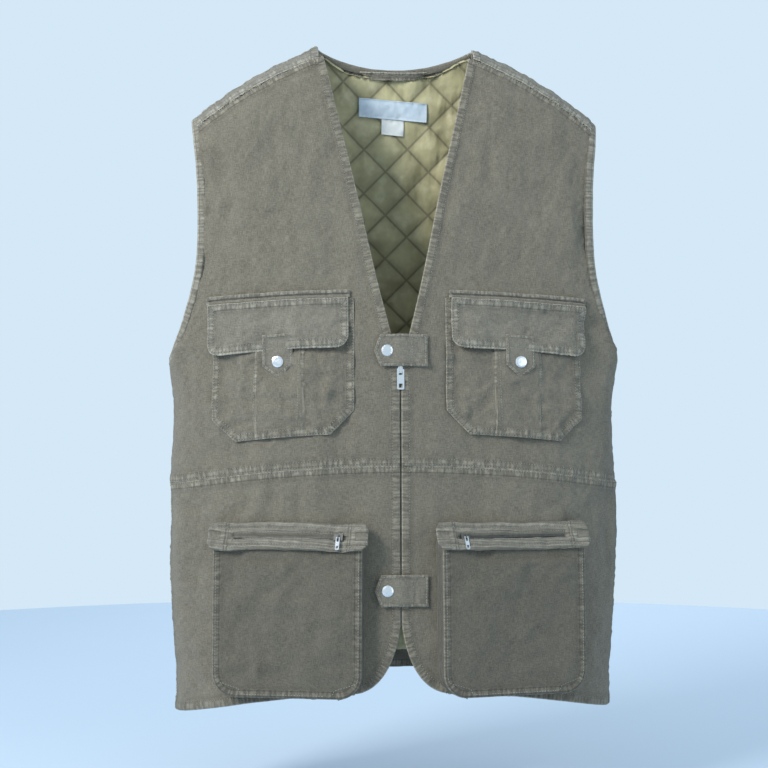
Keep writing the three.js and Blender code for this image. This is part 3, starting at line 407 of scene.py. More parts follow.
class ClothPanel:
    # one cut piece: a grid filled from its four edges, lifted off the body by its folds and seams
    def __init__(self, edges, front=True, step=2.6, lift=0.0, foldShare=1.0, seams=None, extra=None, rows=None):
        probe = np.linspace(0, 1, 13)
        rough = shell(*np.moveaxis(filled(edges, probe, probe), -1, 0))
        wide = np.linalg.norm(np.diff(rough, axis=1), axis=2).sum(axis=1).max()
        tall = np.linalg.norm(np.diff(rough, axis=0), axis=2).sum(axis=0).max()
        self.s = spaced(wide, step)
        self.t = spaced(tall, step * 1.15) if rows is None else rows
        self.front = front
        grid = filled(edges, self.s, self.t)
        self.phi, self.u = grid[..., 0], grid[..., 1]
        self.base = shell(self.phi, self.u)
        self.normal = normalAt(self.phi, self.u)
        self.x, self.z = self.base[..., 0], self.base[..., 2]
        self.flat = np.linalg.norm(np.diff(self.base, axis=1), axis=2).sum(axis=1).mean() / 1000, (
            np.linalg.norm(np.diff(self.base, axis=0), axis=2).sum(axis=0).mean() / 1000)
        sides = {"left": self.base[:, 0], "right": self.base[:, -1],
                 "bottom": self.base[0], "top": self.base[-1]}
        self.fields = {}
        self.double = np.full(self.x.shape, 60.0)
        self.single = np.full(self.x.shape, 60.0)
        self.along = np.zeros(self.x.shape)
        nearest = np.full(self.x.shape, 1e9)
        height = folds(self.x, self.z, front) * foldShare + lift
        if extra is not None:
            height = height + extra(self)
        for edge, kind in (seams or {}).items():
            d, a = edgeField(self.base, sides[edge])
            self.fields[edge] = d
            self.along = np.where(d < nearest, a + 500 * len(self.fields), self.along)
            nearest = np.minimum(nearest, d)
            seed = len(edge) + (3 if front else 11)
            height = height + seamHeight(d, a, kind, seed)
            if kind == "double":
                self.double = np.minimum(self.double, d)
            elif kind == "single":
                self.single = np.minimum(self.single, d)
            elif kind == "tight":
                self.single = np.minimum(self.single, 2.6 * d)
        self.height = height
        self.points = self.base + self.normal * height[..., None]

    def row(self, edge, distance, trim=0.0):
        # the line that runs at a distance inside an edge
        d = self.fields[edge]
        line = []
        upright = edge in ("left", "right")
        count = len(self.t) if upright else len(self.s)
        for k in range(count):
            values = d[k] if upright else d[:, k]
            points = self.points[k] if upright else self.points[:, k]
            if edge in ("right", "top"):
                values, points = values[::-1], points[::-1]
            stop = max(2, int(np.argmax(values > distance)) + 1)
            line.append([np.interp(distance, values[:stop], points[:stop, c]) for c in range(3)])
        line = np.array(line)
        keep = slice(None) if not trim else slice(trim, -trim)
        return line[keep]

    def stitch(self, body, edge, *distances, lift=0.25, trim=2):
        for distance in distances:
            line = self.row(edge, distance, trim)
            stitchPaths.setdefault(body, []).append((line, self.normalAlong(line), lift))

    def normalAlong(self, line):
        where = at(line[:, 0], line[:, 2], self.front)
        return normalAt(where[:, 0], where[:, 1])

    def build(self, name, material, thick=1.4, inside=False):
        fields = {"seamDouble": self.double, "seamSingle": self.single, "seamAlong": self.along}
        uv = arcAcross(self.phi, self.front) / 1000, self.z / 1000
        middle = self.normal[len(self.t) // 2, len(self.s) // 2] * (-1 if inside else 1)
        mesh = makeGrid(name, self.points, fields, uv, middle)
        piece = finishPiece(name, mesh, material)
        thicken(piece, thick)
        return piece

    def area(self):
        a = np.diff(self.base, axis=1)[:-1]
        b = np.diff(self.base, axis=0)[:, :-1]
        return float(np.linalg.norm(np.cross(a, b), axis=2).sum()) / 1e6


def seamHeight(d, a, kind, seed):
    # washed seams pucker in short ridges that run in from the edge
    ladder = softNoise(a / 4.6 + 31 * seed, d / 30) + 0.5 * softNoise(a / 2.9 + 11 * seed, d / 18)
    long = softNoise(a / 15 + 3 * seed, d / 40)
    if kind == "double":
        rise = 0.8 * (1 - smoothstep(d, 7.5, 10)) - 0.55 * (1 - smoothstep(d, 0, 1.2))
        return rise + 0.62 * ladder * bump(d - 4.5, 5.5) + 0.8 * long * bump(d - 10, 16)
    if kind == "single":
        rise = 1.1 * (1 - smoothstep(d, 8.2, 10.6)) - 1.1 * (1 - smoothstep(d, 0, 1.6)) ** 2
        return rise + 0.6 * ladder * bump(d - 5, 5.5) + 0.7 * long * bump(d - 10, 14)
    if kind == "tight":
        rise = 0.5 * (1 - smoothstep(d, 2.5, 4)) - 0.8 * (1 - smoothstep(d, 0, 1.5)) ** 2
        return rise + 0.42 * ladder * bump(d - 2, 4)
    if kind == "ease":
        return 0.55 * ladder * bump(d - 4, 9) + 0.6 * long * bump(d - 6, 14)
    return 0 * d


def thicken(piece, thick):
    solidify = piece.modifiers.new("Thickness", "SOLIDIFY")
    solidify.thickness, solidify.offset = thick / 1000, -1
    solidify.use_even_offset = False


def finishPiece(name, mesh, material):
    mesh.polygons.foreach_set("use_smooth", [True] * len(mesh.polygons))
    piece = bpy.data.objects.new(name, mesh)
    bpy.context.scene.collection.objects.link(piece)
    if material is not None:
        mesh.materials.append(material)
    return piece


# edges of the cut pieces, seen from outside: left, right, bottom, top

lip = 0.9   # half the dark line left where the two fronts meet
turnedIn = cut["bindingWidth"] - 2.5
lowShare = 0.25


def sided(side, inner, outer, bottom, top):
    edges = (inner, outer, bottom, top)
    return edges if side > 0 else mirrored(edges)


def mix(a, b, t):
    return a + (b - a) * t


def frontEdgeAt(t):
    if t < lowShare:
        return np.array([lip, mix(-cut["waistDrop"], -zt, t / lowShare)])
    p = neckLine(1 - (t - lowShare) / (1 - lowShare))
    return np.array([max(p[0] - (cut["placketHalf"] - lip), lip), p[1]])


def stripLine(x, drop, front=True):
    return at(x, float(ridge(x)) - drop, front)


def frontUpper(side):
    def inner(t):
        p = frontEdgeAt(min(t, 0.9999))
        if t >= 1:
            return stripLine(nh, cut["stripDrop"])
        return at(p[0], min(p[1], float(ridge(p[0])) - cut["stripDrop"]))

    def outer(t):
        if t >= 1:
            return stripLine(sh - turnedIn, cut["stripDrop"])
        edge = outerEdge(True, by=turnedIn)(t)
        return np.array([edge[0], max(edge[1], math.sqrt(cut["stripDrop"]))])

    top = lambda s: stripLine(mix(nh, sh - turnedIn, s), cut["stripDrop"])
    return sided(side, inner, outer, levelEdge(lip, -cut["waistDrop"], True), top)


def cornerCurve(t):
    points = [(cut["placketHalf"] + cut["hemCorner"], -cut["hemDrop"]),
              (cut["placketHalf"] + 0.45 * cut["hemCorner"], -cut["hemDrop"]),
              (cut["placketHalf"] + 3, -cut["hemDrop"] + 0.4 * cut["hemCornerRise"]),
              (lip, -cut["hemDrop"] + cut["hemCornerRise"])]
    a, b, c, d = [np.array(p, float) for p in points]
    return (1 - t) ** 3 * a + 3 * (1 - t) ** 2 * t * b + 3 * (1 - t) * t * t * c + t**3 * d


def frontLower(side):
    def inner(t):
        if t < 0.4:
            p = cornerCurve(t / 0.4)
            return on(p[0], p[1])
        return on(lip, mix(-cut["hemDrop"] + cut["hemCornerRise"], -cut["waistDrop"], (t - 0.4) / 0.6))

    outer = lambda t: sideAt(1, mix(-cut["hemDrop"], -cut["waistDrop"], t), True)
    bottom = levelEdge(cut["placketHalf"] + cut["hemCorner"], -cut["hemDrop"], True)
    return sided(side, inner, outer, bottom, levelEdge(lip, -cut["waistDrop"], True))


def strip(side):
    line = lambda x, drop: np.array([math.asin(x / float(bodyHalf(sideRidge))), math.sqrt(drop)])
    ends = nh, sh - turnedIn
    return sided(side, lambda t: line(ends[0], mix(cut["stripDrop"], 0.0001, t)),
                 lambda t: line(ends[1], mix(cut["stripDrop"], 0.0001, t)),
                 lambda s: line(mix(*ends, s), cut["stripDrop"]), lambda s: line(mix(*ends, s), 0.0001))


def bothSides(outer, bottom, top):
    return (lambda t: outer(t) * np.array([-1, 1]), outer, bottom, top)


def levelAcross(z):
    half = levelEdge(0, z, False)

    def edge(s):
        p = half(abs(2 * s - 1))
        return np.array([-p[0] if s < 0.5 else p[0], p[1]])

    return edge


neckBindingDepth = lambda x: 9 * float(smoothstep(nh - abs(x), -4, 40))
neckEdge = lambda x: -cut["neckDip"] * (1 - (x / nh) ** 2)


def backTop(s, share=0.25):
    half = sh - turnedIn
    if s < share or s > 1 - share:
        run = s / share if s < share else (1 - s) / share
        x = mix(half, nh, run)
        return np.array([math.asin((-x if s < 0.5 else x) / float(bodyHalf(sideRidge))), 1.7 - 1.71 * run**6])
    x = mix(-nh, nh, (s - share) / (1 - 2 * share))
    return at(x, neckEdge(x) - 0.5 * neckBindingDepth(x), False)


def yokeMeets():
    low, high = 0.0, 1.0
    for _ in range(24):
        middle = (low + high) / 2
        p = shell(*armholeEdge(middle, False, turnedIn))
        if p[2] < drag(p[0], -cut["yokeDrop"]):
            low = middle
        else:
            high = middle
    return low


meets = yokeMeets()
yokeEnd = armholeEdge(meets, False, turnedIn)


def yokeLine(s):
    if s <= 0 or s >= 1:
        return yokeEnd * np.array([-1 if s <= 0 else 1, 1])
    return on((2 * s - 1) * shell(*yokeEnd)[0], -cut["yokeDrop"], False)


yoke = bothSides(lambda t: backTop(1) if t >= 1 else armholeEdge(mix(meets, 1, t), False, turnedIn),
                 yokeLine, backTop)
upperBack = bothSides(outerEdge(False, meets, by=turnedIn), levelAcross(-cut["waistDrop"]), yokeLine)
lowerBack = bothSides(lambda t: sideAt(1, mix(-cut["hemDrop"], -cut["waistDrop"], t), False),
                      levelAcross(-cut["hemDrop"]), levelAcross(-cut["waistDrop"]))


def patchEdges(centre, half, top, bottom, corner, cutAcross):
    def edge(sign):
        def along(t):
            if t > 0.28:
                return on(centre + sign * half, mix(-bottom + corner, -top, (t - 0.28) / 0.72))
            share = t / 0.28
            a, b = (1 - share, 1 - share) if cutAcross else (
                1 - math.sin(share * math.pi / 2), math.cos(share * math.pi / 2))
            return on(centre + sign * (half - corner * a), -bottom + corner * (1 - b))
        return along

    return (edge(-1), edge(1), lambda s: on(centre + (2 * s - 1) * (half - corner), -bottom),
            lambda s: on(centre + (2 * s - 1) * half, -top))


# finishes

class Shade:
    # one socket of a node tree, so that shader maths can be written as Python
    def __init__(self, tree, socket):
        self.tree, self.socket = tree, socket

    def node(self, kind, settings=None, inputs=None, output=0):
        made = self.tree.nodes.new("ShaderNode" + kind)
        for key, value in (settings or {}).items():
            if key == "stops":
                ramp = made.color_ramp.elements
                while len(ramp) < len(value):
                    ramp.new(0.5)
                for stop, (position, colour) in zip(ramp, value):
                    stop.position, stop.color = position, (*colour, 1)
            else:
                setattr(made, key, value)
        for key, value in (inputs or {}).items():
            if isinstance(value, Shade):
                self.tree.links.new(value.socket, made.inputs[key])
            else:
                made.inputs[key].default_value = value
        return Shade(self.tree, made.outputs[output])

    def math(self, operation, *others):
        return self.node("Math", {"operation": operation}, dict(enumerate((self, *others))))

    def __add__(self, other):
        return self.math("ADD", other)

    def __sub__(self, other):
        return self.math("SUBTRACT", other)

    def __rsub__(self, other):
        return self.node("Math", {"operation": "SUBTRACT"}, {0: other, 1: self})

    def __mul__(self, other):
        return self.math("MULTIPLY", other)

    def __truediv__(self, other):
        return self.math("DIVIDE", other)

    def __pow__(self, other):
        return self.math("POWER", other)

    __radd__, __rmul__ = __add__, __mul__

    def wave(self, scale):
        return (self * scale).math("SINE")

    def step(self, low, high):
        inputs = {0: self, 1: low, 2: high, 3: 0.0, 4: 1.0}
        return self.node("MapRange", {"interpolation_type": "SMOOTHSTEP"}, inputs)

    def hump(self, centre, width):
        # 1 at the centre and falling to 0 a width away
        return 1 - (self - centre).math("ABSOLUTE").step(0.0, width)

    def blend(self, first, second):
        # two colours, mixed by this value
        first, second = [c if isinstance(c, Shade) else (*c, 1) for c in (first, second)]
        return self.node("Mix", {"data_type": "RGBA"}, {0: self, 6: first, 7: second}, 2)

    def stretched(self, scale):
        return self.node("Mapping", {}, {0: self, 3: scale})

    def noise(self, scale, detail=3.0, roughness=0.55):
        inputs = {"Vector": self, "Scale": scale, "Detail": detail, "Roughness": roughness}
        return self.node("TexNoise", {}, inputs)


def finish(name):
    material = bpy.data.materials.new(name)
    material.use_nodes = True
    tree = material.node_tree
    shader = next(n for n in tree.nodes if n.type == "BSDF_PRINCIPLED")
    start = Shade(tree, None)
    coords = tree.nodes.new("ShaderNodeTexCoord")
    return material, shader, start, Shade(tree, coords.outputs["Object"]), Shade(tree, coords.outputs["UV"])


def attach(shader, tree, **links):
    for key, value in links.items():
        tree.links.new(value.socket, shader.inputs[key.replace("_", " ")])


def linear(r, g, b):
    return tuple(((c / 255 + 0.055) / 1.055) ** 2.4 if c > 10 else c / 255 / 12.92 for c in (r, g, b))


def washedCloth(name, body, paleSlubWearAndHighlight, deep, slubs=0.5, sheen=0.12):
    # slubby washed linen: threads both ways, mottled by washing, paler where it rubs over seams; painted
    # highlights on the seam puckers, painted shade in the stitch grooves, between the puckers and beside the
    # seams, and random patches of painted light and shade standing in for the shading of creases
    material, shader, start, place, uv = finish(name)
    double = start.node("Attribute", {"attribute_name": "seamDouble"}, output=2)
    single = start.node("Attribute", {"attribute_name": "seamSingle"}, output=2)
    warp = uv.stretched((1300, 160, 1)).noise(1.0, 2.0)
    weft = uv.stretched((140, 1300, 1)).noise(1.0, 2.0)
    speck = uv.stretched((800, 620, 1)).noise(1.0, 3.0, 0.7)
    streak = uv.stretched((120, 7, 1)).noise(1.0, 3.0, 0.6)
    slub = (warp * 0.34 + weft * 0.3 + speck * 0.36).step(0.39, 0.61)
    mottle = place.noise(16.0, 4.0, 0.6).step(0.3, 0.7)
    cloud = place.noise(5.0, 2.0).step(0.3, 0.7)
    rub = place.noise(150.0, 3.0, 0.65).step(0.35, 0.7)
    along = start.node("Attribute", {"attribute_name": "seamAlong"}, output=2)
    nearEdge = double.math("MINIMUM", single)
    rung = start.node("CombineXYZ", {}, {0: along * 0.31, 1: nearEdge * 0.05, 2: 0.0})
    ladder = rung.noise(1.0, 2.0, 0.5).step(0.38, 0.62)
    inBand = 1 - nearEdge.step(6.5, 11.0)
    hem = 1 - single.step(0.0, 1.8)
    ridge1 = double.hump(4.2, 3.4)
    edge = 1 - double.step(0.3, 1.8)
    grooves = (double.hump(1.8, 1.1) + double.hump(7.6, 1.1) + single.hump(8.6, 1.1)).math("MINIMUM", 1.0)
    beside = (double.hump(11.0, 4.0) + single.hump(12.0, 4.0)).math("MINIMUM", 1.0)
    # real wear pales the hems, fold edges and the ridge between stitch rows; the inBand * ladder share is a
    # painted highlight on the tops of the seam puckers
    wearAndPuckerHighlight = (hem * 0.95 + ridge1 * 0.3 * rub + edge * 0.75 + inBand * ladder * 0.34).math("MINIMUM", 1.0)
    # patch: random 22 mm light and dark patches, painted light and shade standing in for the shading of creases
    patch = place.noise(48.0, 4.0, 0.6).step(0.36, 0.64)
    colour = (patch * 0.36 + mottle * 0.2 + cloud * 0.16 + streak.step(0.3, 0.7) * 0.28).blend(deep, body)
    colour = (slub * slubs).blend(colour, paleSlubWearAndHighlight)
    colour = (wearAndPuckerHighlight * (0.5 + 0.5 * rub)).blend(colour, tuple(min(1, c * 1.35) for c in paleSlubWearAndHighlight))
    # the painted shade colour for the stitch grooves, the pucker valleys and the seam sides
    paintedShade = tuple(c * 0.55 for c in deep)
    # painted shade in the sunken stitch rows
    colour = (grooves * 0.5).blend(colour, paintedShade)
    # painted shade in the valleys between the seam puckers
    colour = (inBand * (1 - ladder) * 0.32).blend(colour, paintedShade)
    # painted shade just beside the raised seam bands, where the cloth steps down
    colour = (beside * 0.14).blend(colour, paintedShade)
    across, down = [start.node("SeparateXYZ", {}, {0: uv}, k).wave(7800.0) for k in (0, 1)]
    relief = place.noise(62.0, 4.0, 0.6) * 8.0 + across * down * 0.5 + warp * 1.2 + weft * 1.2
    relief = relief + place.noise(420.0, 2.0) * 0.9 - grooves * 1.6 + inBand * ladder * 2.2
    bumpNode = start.node("Bump", {}, {"Strength": 0.62, "Distance": 0.0008, "Height": relief})
    attach(shader, material.node_tree, Base_Color=colour, Roughness=0.84 + 0.1 * slub, Normal=bumpNode)
    shader.inputs["Sheen Weight"].default_value = sheen
    shader.inputs["Sheen Roughness"].default_value = 0.6
    shader.inputs["Specular IOR Level"].default_value = 0.25
    return material


lining = {
    "diamond": 51.0, "shiftDown": 39.4, "shiftUp": 24.6,    # spacing and place of the quilted lines
    "puff": 4.4, "depth": 5.2, "pucker": 0.45, "hemGap": 22,
}


def satin(name, body, light, deep):
    # olive lining satin: a faint diagonal twill, pale patches of painted sheen, painted shade darkening towards
    # the quilted lines and deeper painted shade in the sunken lines themselves
    material, shader, start, place, uv = finish(name)
    split = [start.node("SeparateXYZ", {}, {0: uv}, k) for k in (0, 1)]
    twill = (split[0] + split[1]).wave(9000.0)
    cloud = place.noise(22.0, 4.0, 0.6).step(0.25, 0.75)
    parts = [start.node("SeparateXYZ", {}, {0: place}, k) * 1000 for k in (0, 2)]
    sewn = [(parts[0] + parts[1] + lining["shiftDown"]) / lining["diamond"],
            (parts[0] - parts[1] - lining["shiftUp"]) / lining["diamond"]]
    sewn = [((v + 0.5).math("FRACT") - 0.5).math("ABSOLUTE") * lining["diamond"] / math.sqrt(2) for v in sewn]
    # the sunken quilting lines, painted dark as painted shade and also sunk in the bump
    quiltGroove = 1 - sewn[0].math("MINIMUM", sewn[1]).step(0.4, 2.0)
    # shade: painted shade on the puffs as they dip towards the quilting lines
    shade = 1 - sewn[0].math("MINIMUM", sewn[1]).step(1.0, 9.0)
    colour = cloud.blend(deep, body)
    # pale patches of painted sheen on the satin
    colour = (place.noise(70.0, 3.0).step(0.45, 0.8) * 0.4).blend(colour, light)
    colour = (shade * 0.3).blend(colour, tuple(c * 0.6 for c in deep))
    colour = (quiltGroove * 0.6).blend(colour, tuple(c * 0.34 for c in deep))
    relief = twill * 0.25 + place.noise(260.0, 3.0) * 0.8 - quiltGroove * 1.5
    bumpNode = start.node("Bump", {}, {"Strength": 0.35, "Distance": 0.0006, "Height": relief})
    attach(shader, material.node_tree, Base_Color=colour, Roughness=0.42 + 0.16 * cloud, Normal=bumpNode)
    shader.inputs["Sheen Weight"].default_value = 0.15
    return material


def metal(name, tint, dull, rough, scratch=0.5):
    material, shader, start, place, uv = finish(name)
    haze = place.noise(240.0, 4.0, 0.6).step(0.35, 0.75)
    brushed = place.stretched((900, 900, 6000)).noise(1.0, 2.0)
    colour = (haze * 0.5).blend(tint, dull)
    bumpNode = start.node("Bump", {}, {"Strength": 0.15 * scratch, "Distance": 0.0003, "Height": brushed})
    attach(shader, material.node_tree, Base_Color=colour, Roughness=rough + 0.2 * haze, Normal=bumpNode)
    shader.inputs["Metallic"].default_value = 1.0
    return material


def wovenTape(name, body, light, pitch):
    # ribbed woven ribbon, used for the zip tapes, labels and thread
    material, shader, start, place, uv = finish(name)
    parts = [start.node("SeparateXYZ", {}, {0: place}, k) for k in (0, 2)]
    ribs = parts[0].wave(6.283 / pitch) * parts[1].wave(6.283 / pitch)
    fuzz = place.noise(900.0, 3.0)
    cloud = place.noise(60.0, 3.0).step(0.3, 0.7)
    colour = (cloud * 0.6 + ribs.step(0.0, 1.0) * 0.3).blend(body, light)
    bumpNode = start.node("Bump", {}, {"Strength": 0.4, "Distance": 0.0003, "Height": ribs * 0.6 + fuzz})
    attach(shader, material.node_tree, Base_Color=colour, Roughness=0.7 + 0.15 * fuzz, Normal=bumpNode)
    return material


shellLinen = washedCloth("Washed linen", linear(110, 104, 90), linear(152, 146, 130), linear(88, 82, 70))
frontLinen = washedCloth("Washed linen, trims", linear(116, 111, 98), linear(160, 155, 141), linear(92, 87, 75))
bagLinen = washedCloth(
    "Washed linen, cargo bags", linear(92, 87, 75), linear(132, 127, 113), linear(74, 69, 58))
paleLinen = washedCloth(
    "Washed linen, shoulders", linear(130, 126, 114), linear(168, 164, 152), linear(106, 102, 90))
# the third colour is the pale tone of the lining's painted sheen
liningSatin = satin("Quilted lining satin", linear(188, 180, 138), linear(216, 209, 172), linear(152, 144, 108))
brightSteel = metal("Bright plated steel", (0.80, 0.81, 0.82), (0.6, 0.6, 0.6), 0.16)
zipAlloy = metal("Dull zip alloy", (0.17, 0.165, 0.15), (0.09, 0.09, 0.085), 0.46)
zipCloth = wovenTape("Zip tape weave", linear(96, 94, 82), linear(120, 118, 106), 0.0008)
labelWeave = wovenTape("Pale label weave", linear(178, 194, 206), linear(206, 216, 222), 0.0006)
tagWeave = wovenTape("White tag weave", linear(214, 217, 214), linear(232, 234, 231), 0.0006)
thread = wovenTape("Sewing thread", linear(140, 140, 130), linear(172, 172, 162), 0.0005)
print("finishes made")


# camera, floor and light

studio = {
    "target": (-0.0125, 0.0, -0.384), "distance": 2.0, "azimuth": -4.0, "lens": 81.5,
    "floorDrop": 0.10, "floorSize": 1.8,
}
turn = math.radians(studio["azimuth"])
camera = bpy.data.objects.new("Camera", bpy.data.cameras.new("Camera"))
camera.location = Vector(studio["target"]) + studio["distance"] * Vector((math.sin(turn), -math.cos(turn), 0))
camera.rotation_euler = (math.pi / 2, 0, turn)
camera.data.lens, camera.data.sensor_width = studio["lens"], 36
bpy.context.scene.collection.objects.link(camera)
bpy.context.scene.camera = camera

bpy.context.scene.view_settings.view_transform = "Standard"
world = bpy.data.worlds.new("Pale studio")
bpy.context.scene.world = world
world.use_nodes = True
background = next(n for n in world.node_tree.nodes if n.type == "BACKGROUND")
background.inputs["Color"].default_value = (*linear(212, 232, 247), 1)
background.inputs["Strength"].default_value = 1.0

floorMesh = bmesh.new()
bmesh.ops.create_circle(floorMesh, cap_ends=True, segments=96, radius=studio["floorSize"])
bmesh.ops.translate(floorMesh, verts=floorMesh.verts, vec=(0, 0, cadLow[2] - studio["floorDrop"]))
floorData = bpy.data.meshes.new("floor")
floorMesh.to_mesh(floorData)
floorMesh.free()
floorFinish, floorShader, floorStart, floorPlace, _ = finish("Pale floor")
attach(floorShader, floorFinish.node_tree,
       Base_Color=floorPlace.noise(0.7, 3.0).blend(linear(176, 194, 212), linear(184, 200, 216)))
floorShader.inputs["Roughness"].default_value = 0.8
floor = finishPiece("floor", floorData, floorFinish)

for lightName, where, size, power, colour in (
        ("Key", (-1.7, -1.6, 0.75), 0.8, 62, (1, 0.985, 0.96)),
        ("Fill", (1.9, -1.6, -0.1), 1.8, 9, (0.94, 0.97, 1)),
        ("Back", (0.6, 2.2, 0.6), 1.6, 16, (1, 1, 1))):
    lamp = bpy.data.lights.new(lightName, "AREA")
    lamp.size, lamp.energy, lamp.color = size, power, colour
    lampObject = bpy.data.objects.new(lightName, lamp)
    lampObject.location = where
    aim = Vector((0, 0, -0.36)) - Vector(where)
    lampObject.rotation_euler = aim.to_track_quat("-Z", "Y").to_euler()
    bpy.context.scene.collection.objects.link(lampObject)
print("camera, floor and light set")


# the shell

def dress(piece, body, slotName, *nodes):
    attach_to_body(piece, body)
    if nodes:
        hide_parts(*nodes)
    return piece


def declare(piece, panel, spare=1.0):
    wide, tall = panel.flat
    full = panel.area() * spare
    grow = max(1.02, math.sqrt(full / (wide * tall)) * 1.02)
    wide, tall = [max(0.0105, v * grow) for v in (wide, tall)]
    round(max(full, 0.305 * wide * tall), 5)


sideNames = ((-1, "right"), (1, "left"))
for side, name in sideNames:
    inner, outer = ("left", "right") if side > 0 else ("right", "left")
    seams = {inner: "single", outer: "ease", "bottom": "double", "top": "double"}
    upper = ClothPanel(frontUpper(side), seams=seams)
    piece = upper.build(f"{name}_upper_front", shellLinen)
    dress(piece, "garment", "shell_cloth", f"{name}_front_upper")
    declare(piece, upper)
    upper.stitch("garment", inner, 8.6)
    upper.stitch("garment", "bottom", 1.8, 7.6)
    upper.stitch("garment", "top", 1.8)

    seams = {inner: "single", outer: "double", "bottom": "single", "top": "double"}
    lower = ClothPanel(frontLower(side), seams=seams)
    piece = lower.build(f"{name}_lower_front", shellLinen)
    dress(piece, "garment", "shell_cloth", f"{name}_front_lower")
    declare(piece, lower)
    lower.stitch("garment", inner, 8.6)
    lower.stitch("garment", "bottom", 8.6)
    lower.stitch("garment", "top", 1.8)

    seams = {inner: "single", "bottom": "double", "top": "double"}
    shoulder = ClothPanel(strip(side), seams=seams, step=3.0, lift=0.9)
    piece = shoulder.build(f"{name}_shoulder_yoke", paleLinen)
    dress(piece, "garment", "trim_cloth", f"{name}_shoulder_strip")
    declare(piece, shoulder)

for name, edges, nodeName, kinds in (
        ("yoke", yoke, "back_yoke", ("double", "double", "ease", "ease")),
        ("back", upperBack, "back_upper", ("double", "double", "ease", "ease")),
        ("lower_back", lowerBack, "back_lower", ("single", "double", "double", "double"))):
    seams = dict(zip(("bottom", "top", "left", "right"), kinds))
    panel = ClothPanel(edges, front=False, seams=seams, step=3.4)
    piece = panel.build(f"{name}_panel", paleLinen if name == "yoke" else shellLinen)
    dress(piece, "garment", "shell_cloth", nodeName)
    declare(piece, panel)
    for edge in seams:
        rows = {"double": (1.8, 7.6), "single": (8.6,)}.get(seams[edge], ())
        if name == "lower_back" and edge == "top" or name == "yoke" and edge == "top":
            rows = (1.8,)
        panel.stitch("garment", edge, *rows)
print("shell sewn")


# inside: facings, quilted lining, bindings and label

facing = {"turn": 0.4, "width": 30, "depth": 3.2}


def facingPath(t, by):
    if t < facing["turn"]:
        z = mix(-cut["hemDrop"] + cut["hemCornerRise"], -zt, t / facing["turn"])
        return on(1.6 + by, z)
    share = (t - facing["turn"]) / (1 - facing["turn"])
    p = inset(neckLine, 1 - share, -by - 1.2)
    return at(max(p[0], 1.6), min(p[1], float(ridge(p[0])) - 3))


def quilt(panel):
    # diamonds puffed between their sewn lines, drawn in where the lines cross
    p = (panel.x + panel.z + lining["shiftDown"]) / lining["diamond"]
    q = (panel.x - panel.z - lining["shiftUp"]) / lining["diamond"]
    toLine = [np.abs((v + 0.5) % 1 - 0.5) * lining["diamond"] / math.sqrt(2) for v in (p, q)]
    near = np.minimum(*toLine)
    panel.double = near
    puff = np.sqrt(np.clip(near / 15, 0, 1)) * lining["puff"]
    pucker = (softNoise((panel.x + panel.z) / 7, (panel.x - panel.z) / 7, 3)
              + softNoise(panel.x / 4, panel.z / 9, 4))
    soft = softNoise(panel.x / 16, panel.z / 24, 9) * 1.1
    return -(puff + lining["pucker"] * pucker * bump(near - 3, 7) + soft * smoothstep(near, 0, 8))


def liningEdges(side):
    foot = -cut["hemDrop"] + lining["hemGap"] + cut["hemCornerRise"]
    outerPath = outerEdge(True, 1, foot, facing["turn"], turnedIn + 4)

    def outer(t):
        phi, u = outerPath(t)
        return np.array([min(phi, math.pi / 2 - 0.03), max(u, math.sqrt(7))])

    start = facing["width"] - 3
    ends = [(facingPath(t, start), outer(t)) for t in (0, 1)]
    return sided(side, lambda t: facingPath(t, start), outer,
                 lambda s: mix(*ends[0], s), lambda s: mix(*ends[1], s))


def backLiningEdges():
    outerPath = outerEdge(False, 1, -cut["hemDrop"] + lining["hemGap"], 0.5, turnedIn + 3)

    def outer(t):
        phi, u = outerPath(t)
        return np.array([min(phi, math.pi / 2 - 0.03), min(u, -math.sqrt(8))])

    def top(s, share=0.25):
        phi, u = outer(1)
        if s < share or s > 1 - share:
            run = s / share if s < share else (1 - s) / share
            phi = mix(phi, math.asin((nh + 2) / float(bodyHalf(sideRidge))), run)
            return np.array([-phi if s < 0.5 else phi, u])
        x = mix(-nh - 2, nh + 2, (s - share) / (1 - 2 * share))
        return at(x, neckEdge(x) - neckBindingDepth(x) - 1, False)

    foot = outer(0)

    def bottom(s):
        if s in (0, 1):
            return foot * np.array([-1 if s == 0 else 1, 1])
        x = float(bodyHalf(-cut["hemDrop"])) * math.sin((2 * s - 1) * foot[0])
        return on(x, -cut["hemDrop"] + lining["hemGap"], False)

    return bothSides(outer, bottom, top)


for side, name in sideNames:
    band = sided(side, lambda t: facingPath(t, 0), lambda t: facingPath(t, facing["width"]),
                 lambda s: on(1.6 + facing["width"] * s, -cut["hemDrop"] + cut["hemCornerRise"]),
                 lambda s: mix(facingPath(1, 0), facingPath(1, facing["width"]), s))
    inner, outer = ("left", "right") if side > 0 else ("right", "left")
    panel = ClothPanel(band, lift=-facing["depth"], seams={outer: "ease"}, step=3.0)
    piece = panel.build(f"{name}_facing", frontLinen, 1.2, inside=True)
    dress(piece, "garment", "trim_cloth", f"{name}_front_facing")
    declare(piece, panel)

    panel = ClothPanel(liningEdges(side), lift=-lining["depth"], step=3.6, extra=quilt)
    piece = panel.build(f"{name}_quilted_lining", liningSatin, 1.6, inside=True)
    dress(piece, "garment", "lining", f"{name}_front_lining")
    declare(piece, panel)

panel = ClothPanel(backLiningEdges(), front=False, lift=-lining["depth"], step=3.2, extra=quilt)
piece = panel.build("back_quilted_lining", liningSatin, 1.6, inside=True)
dress(piece, "garment", "lining", "back_lining")
declare(piece, panel)


